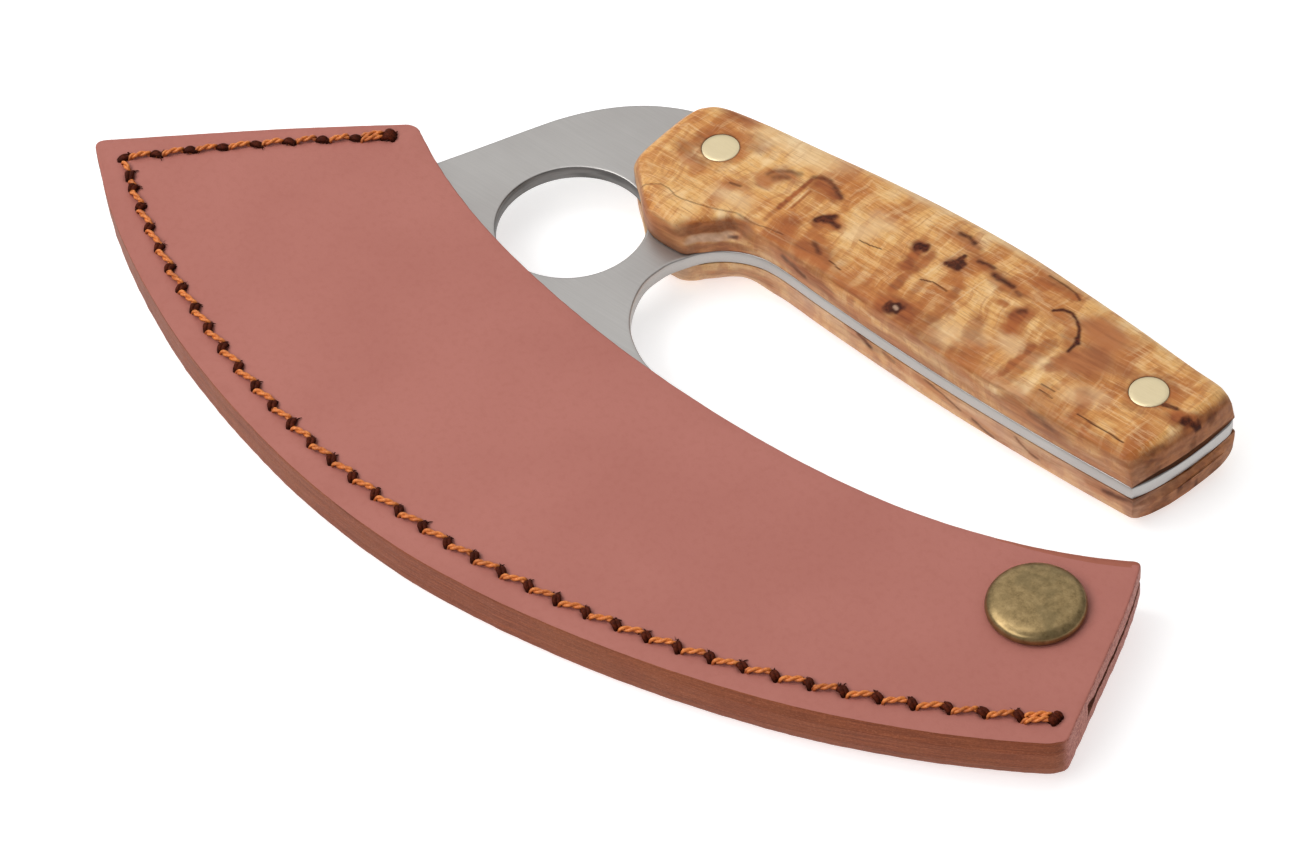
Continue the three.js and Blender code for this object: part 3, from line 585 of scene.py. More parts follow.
def make_wood(name):
    m = Mat(name)
    p = m.attr("loc", True)
    warp = m.vmath("SUBTRACT", m.noise(p, 0.09, 2, 0.5, colour=True), (0.5, 0.5, 0.5))
    q = m.vmath("ADD", p, m.vmath("MULTIPLY", warp, (6.0, 6.0, 6.0)))
    curl = m.noise(m.scale(q, (0.17, 0.04, 0.10), rot=(0, 0, 0.10)), 1.0, 4, 0.58)
    blot = m.noise(m.scale(q, (0.075, 0.13, 0.12), move=(3.1, 7.7, 1.3)), 1.0, 3, 0.55)
    tone = m.math("ADD", m.math("MULTIPLY", curl, 0.58), m.math("MULTIPLY", blot, 0.42))
    col = m.ramp(tone, [(0.35, lin(158, 86, 36)), (0.42, lin(190, 118, 56)), (0.48, lin(210, 146, 78)), (0.55, lin(224, 172, 104)), (0.64, lin(242, 210, 160))])
    g = m.vmath("ADD", p, m.vmath("MULTIPLY", warp, (2.0, 1.3, 1.3)))
    streak = m.noise(m.scale(g, (0.22, 0.85, 0.85), rot=(0, 0, 0.03), move=(5.3, 1.1, 0)), 1.0, 6, 0.7)
    band = m.noise(m.scale(q, (0.55, 0.06, 0.12), rot=(0, 0, 0.07), move=(1.7, 4.2, 0)), 1.0, 3, 0.6)
    col = m.mix(m.math("MULTIPLY", m.step(band, 0.56, 0.61), 0.42), col, lin(178, 108, 56))
    col = m.mix(m.math("MULTIPLY", m.step(band, 0.44, 0.38), 0.34), col, lin(238, 200, 142))
    col = m.mix(m.math("MULTIPLY", m.step(streak, 0.50, 0.64), 0.36), col, lin(174, 104, 50))
    col = m.mix(m.math("MULTIPLY", m.step(streak, 0.48, 0.36), 0.35), col, lin(240, 208, 158))
    col = m.mix(m.math("MULTIPLY", m.step(curl, 0.465, 0.435), 0.24), col, lin(156, 88, 42))
    fibre = m.noise(m.scale(g, (0.10, 2.5, 0.9), rot=(0, 0, 0.02)), 1.0, 5, 0.68)
    tick = m.noise(m.scale(g, (0.42, 4.4, 1.8), rot=(0, 0, 0.02)), 1.0, 3, 0.6)
    col = m.mix(m.math("MULTIPLY", m.step(fibre, 0.50, 0.66), 0.42), col, lin(168, 100, 52))
    col = m.mix(m.math("MULTIPLY", m.step(fibre, 0.48, 0.34), 0.36), col, lin(241, 207, 155))
    col = m.mix(m.math("MULTIPLY", m.step(tick, 0.57, 0.68), 0.34), col, lin(136, 76, 38))
    rays = m.noise(m.scale(q, (1.9, 0.26, 1.0), rot=(0, 0, 0.06)), 1.0, 2, 0.5)
    col = m.mix(m.math("MULTIPLY", m.step(rays, 0.56, 0.70), 0.09), col, lin(166, 98, 48))
    col = m.mix(m.math("MULTIPLY", m.step(rays, 0.44, 0.30), 0.04), col, lin(242, 208, 156))
    # The pale, brown, rose, dark and grey masks carry the wood's figure, and also the painted shade, painted
    # highlights and painted floor reflection set in masks_for.
    col = m.mix(m.attr("pale"), col, m.mix(fibre, lin(240, 212, 168), lin(222, 184, 134)))
    calm = m.noise(m.scale(g, (0.10, 0.7, 1.3), rot=(0, 0, 0.02)), 1.0, 3, 0.55)
    col = m.mix(m.attr("brown"), col, m.mix(m.step(calm, 0.34, 0.66), lin(170, 95, 47), lin(128, 64, 31)))
    col = m.mix(m.attr("rose"), col, m.mix(m.step(calm, 0.34, 0.66), lin(176, 108, 62), lin(146, 84, 48)))
    deep = m.mix(m.step(m.noise(p, 1.1, 3, 0.6), 0.4, 0.64), lin(54, 18, 8), lin(94, 40, 18))
    col = m.mix(m.attr("dark"), col, deep)
    col = m.mix(m.attr("line"), col, lin(72, 30, 14))
    col = m.mix(m.attr("grey"), col, m.mix(m.step(calm, 0.34, 0.66), lin(200, 164, 138), lin(174, 138, 112)))
    m.to("Base Color", col)
    dull = m.math("MAXIMUM", m.math("MAXIMUM", m.attr("dark"), m.attr("line")), m.math("MULTIPLY", m.attr("brown"), 0.5))
    m.to("Roughness", m.math("ADD", m.math("ADD", m.math("MULTIPLY", fibre, 0.2), 0.38), m.math("MULTIPLY", dull, 0.35)))
    relief = m.math("SUBTRACT", m.math("MULTIPLY", tick, 0.4), m.math("MULTIPLY", m.math("MAXIMUM", m.attr("dark"), m.attr("line")), 1.2))
    m.to("Normal", m.bump(relief, 0.00008, 0.5))
    return m.set(Specular_IOR_Level=0.26).m


def make_brass():
    m = Mat("pale_brass")
    p = m.attr("loc", True)
    grain = m.noise(m.scale(p, (0.5, 7.0, 1.0), rot=(0, 0, 0.7)), 1.0, 3, 0.6)
    m.to("Base Color", m.mix(grain, lin(218, 200, 160), lin(232, 216, 179)))
    m.to("Roughness", m.math("ADD", m.math("MULTIPLY", grain, 0.15), 0.32))
    m.to("Normal", m.bump(grain, 0.00001, 0.3))
    return m.set(Metallic=1.0).m


def make_leather(name, light, dark, edge, grain=1.0):
    m = Mat(name)
    p = m.attr("loc", True)
    cloud = m.noise(p, 0.045, 3, 0.55)
    mott = m.noise(p, 0.9, 4, 0.62)
    pore = m.voronoi(p, 2.6)
    col = m.mix(m.step(cloud, 0.3, 0.7), light, dark)
    col = m.mix(m.math("MULTIPLY", m.step(mott, 0.45, 0.7), 0.14), col, edge)
    col = m.mix(m.attr("edge"), col, edge)
    m.to("Base Color", col)
    m.to("Roughness", m.math("ADD", m.math("MULTIPLY", mott, 0.15), 0.52))
    h = m.math("ADD", m.math("MULTIPLY", pore, 0.7), mott)
    m.to("Normal", m.bump(h, 0.00005 * grain, 0.35))
    return m.set(Specular_IOR_Level=0.35).m


def make_cut_edge():
    m = Mat("leather_cut_edge")
    p = m.attr("loc", True)
    line = m.noise(m.scale(p, (0.10, 0.10, 3.6)), 1.0, 4, 0.65)
    thin = m.noise(m.scale(p, (0.7, 0.7, 8.5)), 1.0, 3, 0.7)
    speck = m.noise(p, 2.6, 3, 0.7)
    cloud = m.noise(p, 0.07, 2, 0.5)
    rim = m.ramp(line, [(0.30, lin(100, 46, 24)), (0.47, lin(126, 62, 35)), (0.60, lin(138, 71, 42)), (0.75, lin(160, 90, 56))])
    rim = m.mix(m.math("MULTIPLY", m.step(thin, 0.52, 0.70), 0.45), rim, lin(90, 46, 28))
    rim = m.mix(m.math("MULTIPLY", m.step(cloud, 0.45, 0.7), 0.35), rim, lin(140, 78, 44))
    fine = m.noise(m.scale(p, (2.4, 2.4, 6.0)), 1.0, 3, 0.7)
    rim = m.mix(m.math("MULTIPLY", m.step(fine, 0.52, 0.66), 0.45), rim, lin(92, 48, 30))
    rim = m.mix(m.math("MULTIPLY", m.step(fine, 0.46, 0.34), 0.35), rim, lin(168, 104, 76))
    cut = m.mix(m.step(speck, 0.42, 0.62), lin(186, 118, 102), lin(140, 72, 62))
    cut = m.mix(m.math("MULTIPLY", m.step(thin, 0.58, 0.72), 0.6), cut, lin(205, 150, 130))
    m.to("Base Color", m.mix(m.attr("cut"), rim, cut))
    m.to("Roughness", m.math("ADD", m.math("MULTIPLY", speck, 0.25), 0.45))
    h = m.math("ADD", line, m.math("MULTIPLY", speck, 0.6))
    m.to("Normal", m.bump(h, 0.00007, 0.4))
    return m.set(Specular_IOR_Level=0.22).m


def make_suede():
    m = Mat("leather_flesh_side")
    p = m.attr("loc", True)
    nap = m.noise(p, 3.2, 4, 0.7)
    cloud = m.noise(p, 0.15, 3, 0.5)
    m.to("Base Color", m.mix(m.step(nap, 0.35, 0.68), m.mix(cloud, lin(168, 112, 92), lin(182, 126, 104)), lin(136, 84, 68)))
    m.to("Normal", m.bump(nap, 0.00015, 0.6))
    return m.set(Roughness=0.9, Specular_IOR_Level=0.2).m


def make_thread(name, light, mid, dark, gloss):
    m = Mat(name)
    p = m.attr("loc", True)
    a = m.noise(m.scale(p, (3.0, 3.0, 3.0)), 1.0, 3, 0.6)
    b = m.noise(p, 0.35, 2, 0.5)
    col = m.mix(m.step(a, 0.35, 0.68), mid, light)
    col = m.mix(m.math("MULTIPLY", m.step(b, 0.45, 0.7), 0.4), col, dark)
    # painted shade: the thread darkens down its sides towards the leather, by height
    part = m.node("ShaderNodeSeparateXYZ")
    m.put(part.inputs[0], p)
    col = m.mix(m.math("MULTIPLY", m.step(part.outputs[2], 4.28, 3.75), 0.75), col, dark)
    m.to("Base Color", col)
    m.to("Normal", m.bump(m.noise(p, 9.0, 2, 0.6), 0.00004, 0.5))
    return m.set(Roughness=0.5, Specular_IOR_Level=gloss).m


def make_bronze():
    m = Mat("antique_bronze")
    p = m.attr("loc", True)
    a = m.noise(p, 0.9, 4, 0.62)
    b = m.noise(p, 3.4, 3, 0.6)
    col = m.ramp(m.math("ADD", m.math("MULTIPLY", a, 0.7), m.math("MULTIPLY", b, 0.3)), [(0.34, lin(122, 102, 68)), (0.46, lin(142, 120, 82)), (0.56, lin(154, 131, 91)), (0.70, lin(170, 146, 104))])
    tarnish = m.noise(p, 0.26, 3, 0.55)
    col = m.mix(m.math("MULTIPLY", m.step(tarnish, 0.48, 0.66), 0.45), col, lin(112, 98, 68))
    m.to("Base Color", col)
    m.to("Roughness", m.math("ADD", m.math("MULTIPLY", b, 0.18), 0.24))
    m.to("Normal", m.bump(a, 0.00005, 0.3))
    return m.set(Metallic=0.9).m


def make_floor():
    m = Mat("studio_floor")
    m.set(Base_Color=(0.64, 0.64, 0.64, 1), Roughness=0.9, Specular_IOR_Level=0.0)
    m.set(Emission_Color=(1, 1, 1, 1), Emission_Strength=0.6)
    return m.m


STEEL = make_steel()
HOLE_SHADE_STEEL = make_hole_shade_steel()
WOOD = make_wood("curly_birch")
BRASS = make_brass()
LEATHER = make_leather("leather_grain", lin(177, 110, 98), lin(172, 105, 93), lin(155, 88, 73))
# mouth bevel band: more orange leather, painted darker as shade where the corner turns down
BEVEL = make_leather("leather_bevel", lin(170, 98, 78), lin(160, 90, 70), lin(136, 72, 52))
LEATHER_BACK = make_leather("leather_back", lin(176, 112, 98), lin(168, 104, 90), lin(146, 84, 70), 1.5)
EDGE = make_cut_edge()
SUEDE = make_suede()
ORANGE = make_thread("waxed_thread_orange", lin(236, 146, 70), lin(208, 108, 38), lin(140, 60, 18), 0.5)
# dark brown thread; its large loops at the holes also stand in for the shade inside the holes
MAROON = make_thread("waxed_thread_brown", lin(92, 36, 18), lin(64, 22, 10), lin(32, 10, 5), 0.06)
BRONZE = make_bronze()

# ------------------------------------------------------------ steel plate
tip_l = np.array([EDGE_TIP_X[0], arc_below(EDGE_R, EDGE_TIP_X[0])])
tip_r = np.array([EDGE_TIP_X[1], arc_below(EDGE_R, EDGE_TIP_X[1])])
a0, a1 = deg_at(ARC_CENTRE, tip_l), deg_at(ARC_CENTRE, tip_r)
edge_arc = on_arc(ARC_CENTRE, EDGE_R, np.linspace(a0, a1, 130))
grip_side = catmull([tip_r, *BLADE_INNER, *GRIP_GAP, *UNDERSIDE], 0.6)
back_side = catmull([*REAR_END, *FAR_EDGE, *BLADE_BACK, tip_l], 0.6)
plate_line = np.vstack([edge_arc, grip_side[1:], back_side[:-1]])
from_tip = np.minimum(np.linalg.norm(plate_line - tip_l, axis=1), np.linalg.norm(plate_line - tip_r, axis=1))
bevel = np.zeros(len(plate_line))
bevel[:len(edge_arc)] = np.minimum(BEVEL_W, 0.3 * from_tip[:len(edge_arc)])
limit = np.minimum(1.0, 0.12 * from_tip / 0.3)
ground = np.clip(bevel / 1.5, 0, 1)
rings = []
for z, cut in ((-1.25, 0.55), (-1.25, 0.24), (-1.19, 0.08), (-1.05, 0.0), (-0.15, 0.0), (0.15, 0.0), (1.05, 0.0), (1.19, 0.08), (1.25, 0.24), (1.25, 0.55)):
    slope = bevel * max(0.0, abs(z) - 0.15) / 1.1 + (0.25 if cut > 0.5 else 0.0) * limit
    rings.append((inset(plate_line, (1 - ground) * cut * limit + ground * slope), z))


def round_hole(x, y, r, n, soft):
    if not soft:
        return [(circle(x, y, r, n), z) for z in (-HALF_STEEL, HALF_STEEL)]
    return [(circle(x, y, r + c, n), z) for z, c in ((-1.25, 0.5), (-1.25, 0.22), (-1.19, 0.07), (-1.05, 0), (1.05, 0), (1.19, 0.07), (1.25, 0.22), (1.25, 0.5))]


pts, faces, tags = shell(rings, [round_hole(*FINGER_HOLE, 120, True)] + [round_hole(x, y, PIN_HOLE_R + 0.03, 40, False) for x, y in PIN_XY])
# the finger-hole wall gets the darker steel, painted shade in the hole
in_bore = (np.linalg.norm(pts[:, :2] - np.array(FINGER_HOLE[:2]), axis=1) < FINGER_HOLE[2] + 0.1) & (np.abs(pts[:, 2]) < 1.2)
plate_steel = add_mesh("blade_plate_steel", pts, faces, [STEEL, HOLE_SHADE_STEEL], [int(t == 3 and in_bore[f].all()) for f, t in zip(faces, tags)], sharp=50)
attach(plate_steel, "knife")
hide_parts("blade_plate")

# ---------------------------------------------------------- handle scales
near_line = catmull([*SCALE_NOSE, *GRIP_GAP[11:], *UNDERSIDE, [62.5, 37.65], [66.5, 37.65]], 0.1)
far_line = catmull([*SCALE_FAR_FRONT, *reversed(FAR_EDGE[:-1]), [62, 59.4], [64.3, 58.4], [66.5, 57.2]], 0.1)


def near_y(x):
    return np.interp(x, near_line[:, 0], near_line[:, 1])


def far_y(x):
    return np.interp(x, far_line[:, 0], far_line[:, 1])


def rear_bow(y):
    return np.interp(y, [37.65, 40.6, 44.2, 48, 52, 55, 58, 59.8], [-1.86, -0.7, 0.35, 1.05, 1.55, 1.8, 1.8, 1.0])


STEEP = [[0, 0], [0, 0.2], [0, 0.42], [0.02, 0.6], [0.22, 0.77], [0.8, 0.88], [2.2, 0.945], [4.4, 0.985], [7.5, 1]]
NOSE_WALL = [[0, 0], [0, 0.2], [0, 0.4], [0.06, 0.57], [0.35, 0.74], [1.0, 0.87], [2.2, 0.955], [4.0, 0.99], [6.5, 1]]
NOSE_TIP = [[0, 0], [0.03, 0.2], [0.1, 0.4], [0.25, 0.57], [0.55, 0.74], [1.05, 0.86], [2.1, 0.945], [4.0, 0.985], [6.8, 1]]
SCOOP = [[0, 0], [0, 0.16], [0.15, 0.33], [0.5, 0.5], [1.0, 0.64], [1.9, 0.79], [3.2, 0.915], [4.8, 0.975], [7.0, 1]]
HOLLOW = [[0, 0], [0.02, 0.2], [0.2, 0.345], [0.8, 0.40], [1.7, 0.46], [2.2, 0.6], [2.5, 0.8], [3.1, 0.93], [5.5, 1]]
FAR = [[0, 0], [0, 0.16], [0, 0.3], [0.12, 0.5], [0.5, 0.71], [1.2, 0.86], [2.4, 0.95], [4.2, 0.99], [6.5, 1]]
NEAR_KEYS = {
    1: [(-41, NOSE_WALL), (-30, NOSE_WALL), (-25.5, NOSE_TIP), (-22.2, HOLLOW), (-18.8, HOLLOW), (-12.5, STEEP), (5, STEEP), (70, STEEP)],
    -1: [(-41, NOSE_WALL), (-30, NOSE_WALL), (-25.5, NOSE_TIP), (-21.8, SCOOP), (-17.5, SCOOP), (-11, STEEP), (5, STEEP), (70, STEEP)],
}
END_SHARE = {
    1: [[-40.9, 0.6], [-40.3, 0.78], [-39.3, 0.93], [-37.6, 1], [61.8, 1], [63.0, 0.9], [63.75, 0.74], [64.3, 0.2]],
    -1: [[-40.9, 0.6], [-40.3, 0.78], [-39.3, 0.93], [-37.6, 1], [61.8, 1], [63.6, 0.97], [64.3, 0.88], [64.5, 0.4]],
}


def section_at(side, x):
    keys = NEAR_KEYS[side]
    xs = [k[0] for k in keys]
    table = np.array([k[1] for k in keys], float)
    u = np.interp(x, xs, np.arange(len(xs)))
    i = min(int(u), len(xs) - 2)
    w = u - i
    w = w * w * (3 - 2 * w)
    return table[i] * (1 - w) + table[i + 1] * w


def scale_mesh(side, dx, dy):
    """Lofted scale: stations along the handle, each a section from the near edge over the top to the far edge and back."""
    share = END_SHARE[side]
    end = share[-1][0]
    xs = np.unique(np.round(np.concatenate([np.arange(-40.9, end, dx), np.linspace(-40.9, -38.5, 14), np.linspace(61.0, end, 18), [end]]), 3))
    full = Z_SCALE1 - Z_SCALE0
    sx = np.array([s[0] for s in share])
    sv = np.array([s[1] for s in share])
    n_near, n_far = 60, 40
    n_mid = int(10 / dy)
    rows = []
    for x in xs:
        n, f = near_y(x), far_y(x)
        k = np.interp(x, sx, sv)
        bow = np.clip((x - 50) / 13, 0, 1)
        near = catmull(section_at(side, x) * [1, 6], 0.04) / [1, 6]
        near = near[np.linspace(0, len(near) - 1, n_near).round().astype(int)]
        far = catmull(np.array(FAR) * [1, 6], 0.04) / [1, 6]
        far = far[np.linspace(0, len(far) - 1, n_far).round().astype(int)][::-1]
        y0, y1 = n + near[-1, 0], f - far[0, 0]
        mid = np.linspace(y0, y1, n_mid + 2)[1:-1]
        y = np.concatenate([n + near[:, 0], mid, f - far[:, 0]])
        z = np.concatenate([near[:, 1], np.ones(n_mid), far[:, 1]])
        crown = 0.012 * np.sin(np.clip((y - n) / (f - n), 0, 1) * math.pi)
        rows.append(np.column_stack([x + bow * rear_bow(y), y, side * (Z_SCALE0 + np.clip(z + crown - 0.012, 0, 1) * full * k)]))
    top = np.array(rows)
    base = top.copy()
    base = base[:, [0, *range(n_near, n_near + n_mid, max(1, n_mid // 8)), top.shape[1] - 1], :]
    base[:, 0, 1] = top[:, 0, 1]
    base[..., 2] = side * Z_SCALE0
    R, C = top.shape[:2]
    B = base.shape[1]
    pts = np.vstack([top.reshape(-1, 3), base[:, 1:-1].reshape(-1, 3)])
    off = R * C
    ti = lambda i, j: i * C + j
    bi = lambda i, j: ti(i, 0) if j == 0 else ti(i, C - 1) if j == B - 1 else off + i * (B - 2) + j - 1
    faces = []
    for i in range(R - 1):
        for j in range(C - 1):
            faces.append([ti(i, j), ti(i + 1, j), ti(i + 1, j + 1), ti(i, j + 1)])
        for j in range(B - 1):
            faces.append([bi(i, j), bi(i, j + 1), bi(i + 1, j + 1), bi(i + 1, j)])
    for i, flip in ((0, False), (R - 1, True)):
        ring = [ti(i, j) for j in range(C)] + [bi(i, j) for j in range(B - 2, 0, -1)]
        faces.append(ring[::-1] if flip else ring)
    if side < 0:
        faces = [f[::-1] for f in faces]
    return pts, faces


def punch(pts, faces, centre, r, z_sign, n=72):
    """Cuts a round hole through a scale: the faces over it make way for a ring of new ones."""
    pts = np.asarray(pts, float)
    c = np.array(centre)
    far_enough = np.linalg.norm(pts[:, :2] - c, axis=1) > r + 0.25
    keep, gone = [], []
    for f in faces:
        (keep if far_enough[f].all() else gone).append(f)
    level = np.abs(pts[:, 2]) > (Z_SCALE0 + Z_SCALE1) / 2
    faces = keep
    rims = []
    for upper in (True, False):
        part = [f for f in gone if level[f].all() == upper]
        directed = {}
        for f in part:
            for a, b in zip(f, f[1:] + f[:1]):
                directed[a, b] = 1
        follow = {a: b for (a, b) in directed if (b, a) not in directed}
        first = next(iter(follow))
        loop = [first]
        while follow[loop[-1]] != first:
            loop.append(follow[loop[-1]])
        ring = circle(*centre, r, n)
        z = float(np.mean(pts[loop, 2]))
        base = len(pts)
        pts = np.vstack([pts, np.column_stack([ring, np.full(n, z)])])
        outer = pts[loop, :2]
        tri = cap([outer, ring], np.zeros((0, 2)))
        index = np.concatenate([loop, base + np.arange(n)])
        tri = index[tri]
        up = upper == (z_sign > 0)
        faces += (tri if up else tri[:, ::-1]).tolist()
        rims.append(base)
    t, b = rims
    for i in range(n):
        j = (i + 1) % n
        quad = [t + i, t + j, b + j, b + i]
        faces.append(quad if z_sign > 0 else quad[::-1])
    return pts, faces


def stroke(p, line, width, soft, stretch, seed):
    """Mask of a mark along a line, drawn out along the grain, with an uneven border."""
    k = np.array([stretch, 1, 1])
    d = distance(p * k, line * k)
    if width > 0.25:
        d = d + (0.35 if width > 0.6 else 0.22) * width * wobble(p * k, max(1.6, 2.6 * width), seed)
    return 1 - smoothstep(width * (1 - soft), width * (1 + soft), d)


